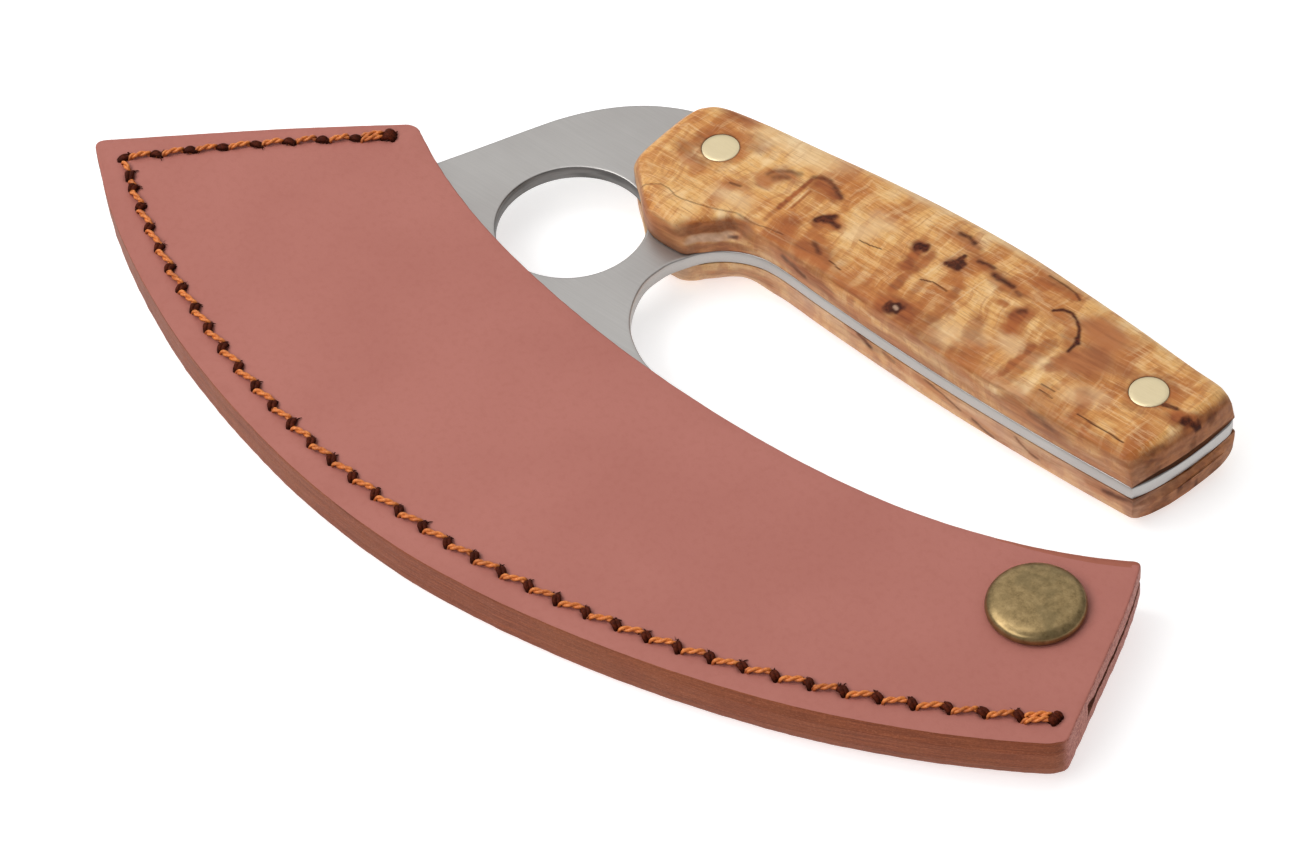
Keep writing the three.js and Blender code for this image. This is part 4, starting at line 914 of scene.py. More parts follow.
# marks in the birch: kind, half-width, softness, strength, stretch along the grain, points
UPPER_MARKS = [
    ("line", 0.11, 0.6, 0.62, 1.0, [(-35.1, 36.9), (-33.4, 37.6), (-32.1, 38.4), (-30.4, 38.4), (-28.4, 37.8), (-26.5, 38.1), (-24.5, 38.6), (-22.5, 39.1), (-20.5, 40.0), (-18.5, 41.0), (-16.4, 41.3), (-14.0, 41.4), (-11.9, 41.7), (-9.7, 42.0)]),
    ("dark", 0.42, 0.95, 0.55, 1.0, [(-20.1, 50.5), (-19.6, 51.7), (-18.6, 52.3), (-17.3, 53.2), (-15.7, 53.6)]),
    ("dark", 0.5, 0.95, 0.5, 0.8, [(-18.7, 50.5), (-17.9, 51.3), (-17.1, 51.6)]),
    ("brown", 1.4, 0.9, 0.7, 0.7, [(-19.4, 49.1), (-18.5, 50.3), (-17.1, 52.0)]),
    ("dark", 0.42, 0.9, 0.75, 1.0, [(-13.7, 54.3), (-12.7, 55.0), (-11.2, 55.2), (-9.6, 54.7), (-8.2, 54.0), (-7.4, 53.5)]),
    ("brown", 1.3, 0.8, 0.8, 0.8, [(-12.1, 53.6), (-9.9, 53.7), (-8.5, 53.2)]),
    ("brown", 0.48, 0.6, 0.85, 1.0, [(-13.6, 53.6), (-13.7, 49.4), (-13.8, 45.8)]),
    ("brown", 0.42, 0.8, 0.5, 1.0, [(-13.8, 45.8), (-14.0, 42.7)]),
    ("pale", 0.10, 0.6, 0.55, 1.0, [(-12.6, 51.9), (-12.6, 49.5), (-12.6, 46.2)]),
    ("brown", 0.22, 0.6, 0.7, 1.0, [(-12.1, 51.6), (-12.1, 47.0)]),
    ("dark", 0.5, 0.6, 0.95, 0.8, [(-7.1, 47.3), (-6.6, 48.6), (-5.5, 49.8)]),
    ("dark", 0.75, 0.5, 0.95, 0.9, [(-6.4, 48.2), (-5.5, 48.8)]),
    ("dark", 0.45, 0.7, 0.9, 0.8, [(-5.8, 48.3), (-4.8, 48.5), (-3.7, 48.2)]),
    ("brown", 1.1, 0.9, 0.75, 0.8, [(-6.8, 47.6), (-5.4, 48.9), (-4.0, 48.2)]),
    ("brown", 1.7, 0.8, 0.6, 0.9, [(-9.7, 44.7), (-8.7, 42.2), (-6.6, 40.7)]),
    ("dark", 0.4, 0.9, 0.7, 0.8, [(-4.4, 43.4), (-2.4, 42.4)]),
    ("brown", 2.0, 0.8, 0.8, 0.9, [(-5.4, 41.6), (-3.2, 41.8), (-0.1, 40.9)]),
    ("line", 0.10, 0.6, 1.0, 1.0, [(0.9, 48.1), (2.8, 48.2), (4.9, 48.7)]),
    ("dark", 0.8, 0.5, 1.0, 0.9, [(9.2, 52.4), (9.5, 53.2), (10.1, 53.4), (10.4, 52.9)]),
    ("brown", 1.3, 0.8, 0.85, 0.9, [(9.6, 53.0), (9.9, 51.4), (9.9, 49.5), (9.9, 48.1)]),
    ("brown", 0.9, 0.8, 0.7, 1.0, [(12.0, 52.5), (11.8, 48.6), (11.5, 45.2), (11.5, 42.9)]),
    ("line", 0.10, 0.6, 0.9, 1.0, [(-0.1, 42.0), (1.3, 41.8), (2.6, 41.5)]),
    ("dark", 1.15, 0.35, 0.95, 1.0, [(13.8, 40.5), (14.7, 40.7)]),
    ("grey", 0.3, 0.6, 0.75, 1.0, [(14.3, 40.7), (14.7, 40.6)]),
    ("brown", 2.5, 0.45, 0.85, 0.85, [(13.6, 40.9), (15.0, 41.1)]),
    ("brown", 1.9, 0.7, 0.95, 0.8, [(12.3, 39.6), (13.6, 41.2), (16.0, 41.5)]),
    ("line", 0.22, 0.8, 0.8, 1.0, [(-23.5, 45.3), (-21.7, 45.7)]),
    ("brown", 1.0, 0.9, 0.5, 0.6, [(-23.0, 45.2), (-21.0, 45.9)]),
    ("dark", 0.5, 0.8, 0.8, 0.8, [(-8.1, 40.1, 4.4), (-5.8, 39.9, 4.0), (-3.6, 39.7, 3.4)]),
    ("brown", 0.9, 0.8, 0.9, 0.8, [(-8.6, 40.2, 4.6), (-2.7, 39.6, 4.6), (-0.2, 39.4, 4.2), (2.3, 39.2, 3.4)]),
    ("dark", 0.28, 0.7, 0.95, 0.8, [(-18.1, 38.6, 3.9), (-17.0, 39.2, 3.9)]),
    ("brown", 0.5, 0.8, 0.7, 0.6, [(-17.0, 39.2, 3.9), (-14.6, 40.6, 3.8)]),
    ("brown", 1.7, 0.9, 0.6, 0.9, [(-30.5, 45.5), (-33.2, 45.6), (-34.4, 47.5), (-33.8, 50.0)]),
    ("brown", 1.5, 0.9, 0.45, 0.8, [(-27.0, 54.0), (-24.5, 54.5)]),
    ("brown", 1.6, 0.9, 0.55, 0.8, [(-34.0, 57.8), (-30.8, 58.0)]),
    # this pale patch by the far edge is a painted highlight
    ("pale", 2.4, 0.9, 0.45, 0.6, [(-25.3, 57.6), (-20.1, 57.9), (-15.0, 58.5)]),
    ("pale", 1.6, 0.9, 0.5, 0.8, [(-22.3, 43.1), (-19.2, 43.3)]),
    ("pale", 1.8, 0.9, 0.5, 0.9, [(-0.2, 49.9), (1.1, 52.5)]),
    ("dark", 0.40, 0.7, 0.85, 0.9, [(12.5, 58.9), (14.1, 59.2), (15.6, 58.6)]),
    ("brown", 1.2, 0.9, 0.7, 0.7, [(12.0, 58.4), (14.5, 58.6), (16.4, 57.8)]),
    ("dark", 0.42, 0.6, 0.95, 1.0, [(14.8, 52.5), (15.8, 53.6), (16.1, 55.4)]),
    ("dark", 0.7, 0.5, 0.95, 1.0, [(15.5, 52.9), (16.3, 53.3), (16.4, 54.3)]),
    ("dark", 0.45, 0.6, 0.95, 0.9, [(17.0, 54.2), (16.9, 52.5), (15.6, 52.5)]),
    ("brown", 1.1, 0.9, 0.7, 0.8, [(15.0, 52.6), (16.6, 54.6), (17.0, 52.6)]),
    ("dark", 0.38, 0.8, 0.85, 0.8, [(18.7, 55.9), (19.9, 56.2), (21.2, 56.2)]),
    ("dark", 0.46, 0.8, 0.9, 0.8, [(22.3, 55.1), (23.5, 54.9), (24.8, 55.0), (26.1, 54.9)]),
    ("dark", 0.30, 0.8, 0.5, 0.8, [(27.3, 54.3), (28.1, 54.1)]),
    ("brown", 1.3, 0.9, 0.65, 0.6, [(18.5, 55.8), (22.5, 55.3), (27.5, 54.4)]),
    ("line", 0.11, 0.6, 1.0, 1.0, [(13.9, 47.4), (15.7, 48.1), (18.7, 47.9)]),
    ("dark", 0.55, 0.9, 0.75, 0.9, [(30.0, 51.2), (30.8, 51.9)]),
    ("brown", 1.5, 0.9, 0.9, 0.9, [(30.5, 51.3), (31.0, 49.6), (31.3, 48.1)]),
    ("brown", 0.6, 0.9, 0.7, 0.8, [(26.6, 51.2), (27.3, 51.3)]),
    ("dark", 0.28, 0.7, 0.95, 1.0, [(34.1, 54.7), (35.2, 55.8), (36.7, 56.1), (38.3, 55.3), (39.7, 54.1), (40.7, 52.6), (41.1, 50.9), (41.2, 49.4)]),
    ("dark", 0.45, 0.7, 1.0, 1.0, [(40.7, 52.3), (41.3, 51.6)]),
    ("brown", 1.5, 0.9, 0.6, 0.9, [(36.0, 54.5), (38.6, 53.4), (40.0, 51.0)]),
    ("line", 0.22, 0.7, 0.8, 1.0, [(29.0, 60.4), (32.0, 60.3), (34.5, 59.9), (35.9, 59.1)]),
    ("brown", 1.0, 0.9, 0.7, 0.8, [(28.9, 57.6), (31.3, 59.2), (34.7, 59.2)]),
    ("rose", 3.1, 0.55, 0.9, 0.9, [(42.0, 56.0), (44.6, 55.4), (46.4, 51.6), (44.8, 48.6)]),
    ("brown", 0.9, 0.9, 0.8, 1.0, [(36.5, 46.7), (36.2, 43.4), (36.0, 39.8)]),
    ("brown", 1.0, 0.9, 0.7, 1.0, [(42.1, 49.7), (41.6, 47.0), (40.9, 44.8)]),
    ("line", 0.12, 0.6, 0.9, 1.0, [(42.1, 41.7), (44.6, 41.7)]),
    ("line", 0.12, 0.6, 0.9, 1.0, [(42.5, 40.7), (45.1, 40.6)]),
    ("line", 0.10, 0.6, 0.7, 1.0, [(43.4, 42.5), (45.0, 42.5)]),
    ("line", 0.13, 0.6, 1.0, 1.0, [(50.0, 40.4), (53.0, 40.25), (56.0, 40.25), (58.8, 40.1)]),
    ("dark", 0.38, 0.5, 0.85, 0.8, [(59.0, 49.5), (61.1, 50.1)]),
    ("dark", 0.72, 0.5, 0.95, 0.9, [(63.5, 49.3), (64.5, 49.8), (65.0, 50.3)]),
    ("brown", 1.4, 0.8, 0.85, 0.8, [(62.6, 48.8), (63.9, 49.0), (65.2, 50.3)]),
    ("dark", 0.55, 0.9, 0.6, 0.6, [(43.3, 37.5, 5.2), (45.4, 37.5, 5.4), (47.1, 37.5, 4.6)]),
    ("brown", 1.2, 0.9, 0.7, 0.5, [(40.0, 37.5, 5.0), (48.0, 37.5, 4.6)]),
    ("pale", 1.8, 0.9, 0.55, 0.9, [(23.2, 40.0), (24.9, 42.0), (27.9, 42.6)]),
    ("pale", 1.5, 0.9, 0.5, 0.9, [(32.1, 45.3), (34.8, 44.6)]),
    ("pale", 1.4, 0.9, 0.5, 0.8, [(37.8, 44.4), (40.4, 45.5)]),
    ("pale", 1.4, 0.9, 0.5, 0.6, [(47.3, 43.0), (49.9, 44.5)]),
    ("pale", 0.11, 0.7, 0.6, 1.0, [(15.1, 59.0), (14.5, 53.3), (13.9, 48.7)]),
    ("pale", 0.11, 0.7, 0.5, 1.0, [(21.9, 53.7), (21.3, 49.1), (20.8, 44.0)]),
    ("pale", 0.11, 0.7, 0.5, 1.0, [(21.4, 41.6), (21.6, 38.6)]),
    ("brown", 0.8, 0.9, 0.6, 1.0, [(19.7, 50.0), (20.4, 45.5)]),
    ("brown", 0.8, 0.9, 0.5, 1.0, [(14.6, 47.4), (14.8, 42.3)]),
    ("brown", 1.3, 0.9, 0.55, 1.0, [(29.1, 39.5), (27.7, 42.9), (26.3, 46.5)]),
    ("brown", 1.2, 0.9, 0.65, 1.0, [(20.1, 38.8), (20.4, 41.7), (20.8, 44.9)]),
    ("brown", 1.1, 0.9, 0.6, 1.0, [(37.1, 39.2), (37.6, 44.2), (38.0, 49.0)]),
    ("brown", 1.5, 0.9, 0.6, 1.0, [(0.7, 38.8), (-1.9, 40.9), (-4.1, 43.3)]),
    ("brown", 2.8, 0.9, 0.45, 0.9, [(43.5, 55.0), (46.0, 51.0), (45.5, 47.5)]),
    ("brown", 1.2, 0.9, 0.45, 1.0, [(48.5, 44.2), (50.4, 39.3)]),
]
LOWER_MARKS = [
    ("dark", 0.45, 0.8, 0.85, 0.8, [(8.3, 37.6, -1.6), (9.4, 37.6, -1.9), (10.6, 37.6, -2.5)]),
    ("brown", 0.9, 0.8, 0.55, 0.6, [(6.5, 37.6, -1.6), (12.0, 37.6, -2.3)]),
    ("dark", 0.3, 0.8, 0.5, 0.8, [(13.6, 37.6, -1.8), (15.8, 37.6, -2.3)]),
    ("brown", 0.7, 0.8, 0.5, 0.6, [(13.0, 37.6, -1.8), (17.0, 37.6, -2.5)]),
    ("dark", 0.24, 0.8, 0.7, 0.8, [(22.2, 37.6, -1.8), (26.1, 37.6, -2.6), (29.4, 37.6, -3.7)]),
    ("brown", 0.8, 0.8, 0.5, 0.6, [(21.0, 37.6, -2.2), (30.0, 37.6, -3.8)]),
    ("dark", 0.35, 0.8, 0.75, 0.8, [(32.0, 37.6, -4.0), (33.4, 37.6, -4.6), (35.9, 37.6, -5.5)]),
    ("brown", 0.9, 0.8, 0.55, 0.6, [(31.0, 37.6, -3.8), (37.5, 37.6, -5.6)]),
    ("dark", 0.3, 0.8, 0.75, 0.9, [(40.5, 37.6, -2.2), (41.6, 37.6, -3.0), (43.4, 37.6, -3.9), (44.8, 37.6, -4.1)]),
    ("brown", 0.7, 0.8, 0.5, 0.6, [(40.0, 37.6, -2.2), (46.0, 37.6, -4.2)]),
    ("rose", 0.7, 0.8, 0.8, 0.7, [(50.5, 37.6, -1.7), (55.5, 37.6, -1.9)]),
    ("dark", 0.5, 0.8, 0.75, 0.8, [(57.3, 37.6, -2.8), (59.6, 37.6, -2.5), (62.4, 37.6, -1.7)]),
    ("brown", 1.1, 0.8, 0.6, 0.6, [(55.0, 37.6, -3.0), (62.8, 37.6, -2.0)]),
    ("dark", 0.4, 0.6, 0.95, 1.0, [(64.9, 45.0, -3.0), (64.9, 47.8, -5.4), (64.9, 49.6, -6.4)]),
    ("brown", 1.0, 0.8, 0.6, 0.6, [(-20.0, 36.5, -3.6), (-12.0, 40.0, -3.8)]),
    ("dark", 0.7, 0.7, 0.9, 0.8, [(-10.0, 52.0, -7.3), (-7.5, 53.0, -7.3), (-6.2, 51.4, -7.3)]),
    ("brown", 1.8, 0.9, 0.8, 0.7, [(-11.0, 51.0, -7.3), (-6.0, 52.6, -7.3)]),
    ("dark", 0.45, 0.7, 0.9, 1.0, [(6.0, 46.0, -7.3), (8.4, 47.4, -7.3), (10.6, 46.8, -7.3)]),
    ("brown", 1.1, 0.9, 0.8, 1.0, [(8.0, 47.0, -7.3), (8.6, 42.0, -7.3)]),
    ("line", 0.14, 0.6, 1.0, 1.0, [(20.0, 44.0, -7.3), (27.0, 44.6, -7.3)]),
    ("dark", 0.5, 0.7, 0.9, 0.9, [(24.0, 55.0, -7.3), (27.0, 56.4, -7.3), (29.4, 54.6, -7.3), (30.0, 52.4, -7.3)]),
    ("rose", 2.6, 0.6, 0.8, 0.8, [(34.0, 52.0, -7.3), (39.0, 49.0, -7.3)]),
    ("line", 0.14, 0.6, 1.0, 1.0, [(-22.0, 46.0, -7.3), (-15.0, 45.4, -7.3)]),
    ("dark", 0.7, 0.6, 0.9, 0.9, [(45.0, 44.0, -7.3), (46.6, 44.4, -7.3)]),
    ("brown", 1.6, 0.9, 0.8, 0.8, [(43.6, 44.0, -7.3), (48.0, 44.6, -7.3)]),
]


def masks_for(p, marks, rear):
    out = {k: np.zeros(len(p)) for k in ("dark", "brown", "pale", "line", "rose", "grey")}
    for i, (kind, width, soft, strength, stretch, line) in enumerate(marks):
        q = p
        if len(line[0]) == 2:
            line = [(*c, 7.2) for c in line]
            q = np.column_stack([p[:, :2], np.where(p[:, 2] > 5.0, 7.2, p[:, 2])])
        line = np.array(line, float)
        if p[:, 2].max() <= 0 and line[:, 2].min() > -6.5:
            # a mark on a lower wall is placed along the wall, whatever the wall's lean
            axis = 0 if line[0, 0] > 64 else 1
            line[:, axis] = line[0, axis]
            q = p.copy()
            q[(p[:, 0] > 62.5) if axis == 0 else (p[:, 1] - near_y(p[:, 0]) < 2.5), axis] = line[0, axis]
        if kind == "brown":
            soft, strength = min(soft, 0.7), min(1.0, 1.15 * strength)
        grow = (1 + 2.5 * width) / np.array([stretch, 1, 1])
        near = ((q >= line.min(0) - grow) & (q <= line.max(0) + grow)).all(1)
        if near.any():
            out[kind][near] = np.maximum(out[kind][near], strength * stroke(q[near], line, width, soft, stretch, 40 + i))
    # the rear end face is redder and darker: end-grain tone together with painted shade on a face turned from the
    # light
    wall = smoothstep(rear - 2.2, rear - 0.5, p[:, 0] - rear_bow(p[:, 1]))
    out["rose"] = np.maximum(out["rose"], 0.9 * wall)
    # the near wall is redder than the top, and the finger scoop gets painted shade above a ledge with a painted
    # highlight
    x, up = p[:, 0], (np.abs(p[:, 2]) - Z_SCALE0) / (Z_SCALE1 - Z_SCALE0)
    inwards = p[:, 1] - near_y(x)
    edge_at = 0.02 * wobble(p * [0.2, 1, 1], 5, 97)
    side_wall = (1 - smoothstep(0.5, 3.6, inwards)) * (1 - smoothstep(0.77, 0.82, up + edge_at))
    out["rose"] = np.maximum(out["rose"], (0.7 if p[:, 2].max() > 0 else 0.2) * side_wall * (0.7 + 0.5 * wobble(p * [0.3, 1, 1], 4, 91)))
    # painted shade: a brown band at the top of the near wall, under the rolled edge
    ridge_shade = (1 - smoothstep(0.5, 3.6, inwards)) * smoothstep(0.765, 0.815, up + edge_at) * (1 - smoothstep(0.90, 0.97, up))
    out["brown"] = np.maximum(out["brown"], 0.75 * ridge_shade * smoothstep(-16, -10, x) * (0.75 + 0.4 * wobble(p * [0.3, 1, 1], 5, 93)))
    # painted reflection of the floor: grey on the near wall, strongest on the lower scale
    out["grey"] = np.maximum(out["grey"], (0.18 if p[:, 2].max() > 0 else 0.55) * side_wall * (0.8 + 0.4 * wobble(p * [0.25, 1, 1], 5, 94)))
    # painted highlight: a pale band along the far shoulder of the top
    shoulder = far_y(x) - p[:, 1]
    out["pale"] = np.maximum(out["pale"], 0.6 * (1 - smoothstep(0.9, 3.4, shoulder + 0.8 * wobble(p * [0.2, 1, 1], 6, 95))) * smoothstep(0.72, 0.9, up) * smoothstep(-27, -20, x) * (1 - smoothstep(20, 46, x)))
    # painted shade in uneven waves on the top face along the near edge, where it rolls over
    near_roll_shade = smoothstep(0.77, 0.83, up + edge_at) * (1 - smoothstep(1.0, 6.2, inwards + 2.2 * wobble(p * [0.6, 0.15, 1], 4, 96)))
    out["brown"] = np.maximum(out["brown"], 0.62 * near_roll_shade * smoothstep(-14, -8, x) * (1 - smoothstep(50, 60, x)))
    if p[:, 2].max() > 0:
        out["line"] = np.maximum(out["line"], 0.75 * (1 - smoothstep(0.0, 0.045, up)))
        # finger scoop: darker, browner upper wall, partly the wood's darker figure and partly painted shade in the
        # hollow; the lower wall is browner too
        here = smoothstep(-26.5, -23.0, x) * (1 - smoothstep(-16.5, -11.5, x)) * (inwards < 5.5)
        ripple = 0.02 * wobble(p, 4, 92)
        out["brown"] = np.maximum(out["brown"], 0.85 * here * smoothstep(0.43, 0.52, up + ripple) * (1 - smoothstep(0.80, 0.97, up + ripple)))
        out["dark"] = np.maximum(out["dark"], 0.30 * here * smoothstep(0.45, 0.56, up + ripple) * (1 - smoothstep(0.60, 0.84, up + ripple)))
        out["brown"] = np.maximum(out["brown"], 0.7 * here * (1 - smoothstep(0.28, 0.37, up + ripple)))
        # painted highlight: a grey sheen on the ledge inside the scoop
        ledge_highlight = smoothstep(-23.6, -22.4, x) * (1 - smoothstep(-19.5, -16.8, x)) * (inwards < 3)
        out["grey"] = np.maximum(out["grey"], 0.9 * ledge_highlight * smoothstep(0.32, 0.38, up + ripple) * (1 - smoothstep(0.44, 0.54, up + ripple)))
        # painted shade: the nose's front wall is browner below its rolled top
        front = smoothstep(-38, -33, x) * (1 - smoothstep(-25, -22.5, x)) * (inwards < 3)
        out["brown"] = np.maximum(out["brown"], 0.55 * front * (1 - smoothstep(0.66, 0.86, up + 2 * ripple)))
        # painted shadow at the foot of the nose, where it overhangs the steel
        nose_foot_shadow = smoothstep(-33, -30, x) * (1 - smoothstep(-22.5, -21, x)) * (inwards < 2)
        out["dark"] = np.maximum(out["dark"], 0.55 * nose_foot_shadow * (1 - smoothstep(0.04, 0.34, up + ripple)))
    # painted shade darkening the rear end face
    out["dark"] = np.maximum(out["dark"], wall * (0.16 + 0.5 * smoothstep(0.1, 0.9, wobble(p, 5, 77))))
    if p[:, 2].max() <= 0:
        out["grey"] = out["grey"] * (1 - np.maximum(out["dark"], 0.6 * out["brown"]))
    return out


for side, dx, dy, name, node in ((1, 0.17, 0.18, "scale_upper_birch", "handle_scale_upper"), (-1, 0.4, 0.4, "scale_lower_birch", "handle_scale_lower")):
    pts, faces = scale_mesh(side, dx, dy)
    for c in PIN_XY:
        pts, faces = punch(pts, faces, c, PIN_HOLE_R, side)
    masks = masks_for(pts, UPPER_MARKS if side > 0 else LOWER_MARKS, 64.3)
    for c in PIN_XY:
        d = np.linalg.norm(pts[:, :2] - np.array(c), axis=1)
        masks["dark"] = np.maximum(masks["dark"], 0.5 * (1 - smoothstep(PIN_HOLE_R, PIN_HOLE_R + 0.1, d)))
        masks["brown"] = np.maximum(masks["brown"], 0.6 * (1 - smoothstep(PIN_HOLE_R, PIN_HOLE_R + 2.4, d + 0.9 * wobble(pts, 3, 5))))
    wood = add_mesh(name, pts, faces, [WOOD], masks=masks, sharp=38)
    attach(wood, "knife")
    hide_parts(node)

for c, name, node in ((PIN_XY[0], "pin_front_brass", "handle_pin_front"), (PIN_XY[1], "pin_rear_brass", "handle_pin_rear")):
    pts, faces = turned([[0, -7.35], [2.2, -7.35], [2.98, -7.34], [PIN_R, -7.29], [PIN_R, 7.29], [2.98, 7.34], [2.2, 7.35], [0, 7.35]], c, 96)
    pin = add_mesh(name, pts, faces, [BRASS], sharp=40)
    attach(pin, "knife")
    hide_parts(node)

# ------------------------------------------------------------------ sheath
corner_lo, corner_li = np.array(LEFT_END[0]), np.array(LEFT_END[-1])
corner_ro = np.array([85.75, -7.8])
corner_ri = np.array([73.9, 0.0])
for _ in range(30):
    corner_ri[1] = mouth_y(corner_ri[0])
    corner_ri[0] = right_x(corner_ri[1])
rim_angles = np.linspace(deg_at(ARC_CENTRE, corner_lo), deg_at(ARC_CENTRE, corner_ro), 220)
rim_table = np.array(RIM, float)
rim_smooth = catmull(rim_table, 0.05)
rim_line = on_arc(ARC_CENTRE, np.interp(rim_angles, rim_smooth[:, 0], rim_smooth[:, 1]), rim_angles)
left_up = catmull(LEFT_END, 0.9)
right_up = np.array([[right_x(y), y] for y in np.linspace(corner_ro[1], corner_ri[1], 38)])
mouth_x = np.linspace(corner_ri[0], corner_li[0], 170)
mouth_line = np.column_stack([mouth_x, mouth_y(mouth_x)])


def sheath_line(cut_ri):
    o = np.vstack([rim_line, right_up[1:], mouth_line[1:], left_up[::-1][1:-1]])
    o = round_corner(o, corner_lo, 2.1, 8)
    o = round_corner(o, corner_li, 1.9, 8)
    o = round_corner(o, corner_ro, 3.0, 8)
    o = round_corner(o, corner_ri, cut_ri, 6)
    o = ccw(o)
    gap = np.linalg.norm(np.roll(o, -1, 0) - o, axis=1)
    return o[gap > 0.05]


# stitch holes from the right end along the rim to the left corner, then up the left end
holes = [on_arc(SEAM_CENTRE, SEAM_R, -118.2 + k * 1.6919) for k in range(37, -1, -1)]
holes += [on_arc(SEAM_CENTRE, SEAM_R, -119.75), on_arc(SEAM_CENTRE, SEAM_R, -120.75)]
seam_corner = on_arc(SEAM_CENTRE, SEAM_R, -122.3)
holes.append(seam_corner)
for k in range(1, 9):
    t = k / 8
    bow = 0.7 * math.sin(math.pi * t)
    holes.append(seam_corner + (np.array([-77.43, 21.93]) - seam_corner) * t + np.array([-0.69, 0.72]) * bow)
holes = np.array(holes)
seam_dir = np.gradient(holes, axis=0)
seam_dir /= np.linalg.norm(seam_dir, axis=1)[:, None]
seam_in = np.column_stack([seam_dir[:, 1], -seam_dir[:, 0]])
seam_line = np.vstack([holes[:1] - seam_dir[:1] * 0.9, holes, holes[-1:] + seam_dir[-1:] * 0.9])


def grid(line, loops, step, margin):
    """Points on a staggered grid inside an outline."""
    lo, hi = line.min(0), line.max(0)
    xs = np.arange(lo[0], hi[0], step)
    ys = np.arange(lo[1], hi[1], step * 0.866)
    p = np.array([[x + (step / 2 if j % 2 else 0), y] for j, y in enumerate(ys) for x in xs])
    p = p[inside(p, loops)]
    return p[distance(p, line, True) > margin]


def seam_points(step, reach):
    """Points packed closely along the seam."""
    s = resample(catmull(seam_line, 0.2), step)
    d = np.gradient(s, axis=0)
    d /= np.linalg.norm(d, axis=1)[:, None]
    n = np.column_stack([d[:, 1], -d[:, 0]])
    rows = []
    k = int(reach / step)
    for j in range(-k, k + 1):
        rows.append(s + n * j * step * (1 if abs(j) < k else 1.2) + d * (step / 2 if j % 2 else 0))
    p = np.vstack(rows)
    order, kept, cells = [], [], {}
    for q in p:
        c = (int(q[0] // step), int(q[1] // step))
        if any(np.hypot(*(q - r)) < 0.6 * step for dx in (-1, 0, 1) for dy in (-1, 0, 1) for r in cells.get((c[0] + dx, c[1] + dy), ())):
            continue
        cells.setdefault(c, []).append(q)
        kept.append(q)
    return np.array(kept)


def thin_out(p, q, gap):
    """Points of p that keep clear of the points of q."""
    if not len(q):
        return p
    keep = np.ones(len(p), bool)
    for s in range(0, len(p), 1000):
        d = ((p[s:s + 1000, None] - q[None]) ** 2).sum(2).min(1)
        keep[s:s + 1000] = d > gap * gap
    return p[keep]


dense = seam_points(0.36, 1.9)


def front_z(p):
    """Upper face of the front panel: a slight hollow along the seam, deeper at each hole."""
    d = distance(p, seam_line)
    h = distance(p, holes[:1])
    for k in range(1, len(holes)):
        h = np.minimum(h, np.linalg.norm(p - holes[k], axis=1))
    drop = 0.16 * np.exp(-(d / 0.95) ** 2) + 0.42 * np.exp(-(h / 0.62) ** 2)
    snap = np.linalg.norm(p - SNAP_XY, axis=1)
    drop = drop + 0.10 * np.exp(-((snap - 6.8) / 1.3) ** 2)
    return Z_OUT - drop + 0.035 * wobble(p, 26, 3) - 0.035


front_line = sheath_line(1.4)
fold_s = (grid(front_line, [front_line], 0.7, 0.9) - FOLD_POINT) @ FOLD_N
fold_points = grid(front_line, [front_line], 0.7, 0.9)
fold_points = fold_points[(fold_s > -1.5) & (fold_s < 6.0)]
inner = grid(front_line, [front_line], 2.2, 1.5)
s = (inner - FOLD_POINT) @ FOLD_N
inner = inner[(s < -2.0) | (s > 6.6)]
inner = thin_out(inner, dense, 1.0)
dense_in = dense[distance(dense, front_line, True) > 1.1]
fold_points = thin_out(fold_points, dense_in, 0.5)
collar = np.vstack([SNAP_XY + r * np.column_stack([np.cos(np.arange(40) * math.pi / 20), np.sin(np.arange(40) * math.pi / 20)]) for r in (5.2, 6.0, 6.8, 7.6, 8.6)])
inner = thin_out(inner, collar, 0.9)
top_pts = np.vstack([dense_in, fold_points, thin_out(inner, fold_points, 0.9), collar])
plain = np.vstack([thin_out(grid(front_line, [front_line], 3.0, 1.5), fold_points, 1.2), fold_points])
plain = plain[np.linalg.norm(plain - SNAP_XY, axis=1) > 3.2]
top_pts = top_pts[np.linalg.norm(top_pts - SNAP_XY, axis=1) > 3.2]
lift = 0.035 * wobble(front_line, 26, 3) - 0.035
fray = 0.045 * wobble(front_line, 2.2, 21)
band = 1.15 * smoothstep(50, 73, front_line[:, 0]) * (1 - smoothstep(0.1, 1.5, distance(front_line, mouth_line)))
rings = []
on_rim = 1 - smoothstep(0.3, 1.4, distance(front_line, rim_line))
lean = on_rim * smoothstep(0, 60, front_line[:, 0])
lip = 0.95 * smoothstep(1.0, 4.5, front_line[:, 1]) * (1 - smoothstep(0.3, 1.5, distance(front_line, right_up)))
for z, cut in ((1.5, 0.0), (2.0, -0.02), (2.7, -0.02), (3.2, 0.0), (3.44, 0.02), (3.55, 0.07), (3.595, 0.15), (3.6, 0.4)):
    drop = 0.25 * band / 1.15 * (1 if 3.3 < z < 3.597 else 0.6 if 3.1 < z < 3.3 else 0) + (lip if z < 1.6 else 0)
    rings.append((inset(front_line, cut + 0.6 * lean * (z - 1.5) / 2.1 + fray * (1 if z < 3.5 else 0.5) + (band if z > 3.597 else 0.0)), z - drop + lift * max(0.0, (z - 2.0) / 1.6)))
snap_hole = [(circle(*SNAP_XY, 2.1, 32), z) for z in (1.5, 3.56)]
pts, faces, tags = shell(rings, [snap_hole], top_pts, plain, front_z, lambda p: np.full(len(p), Z_IN))


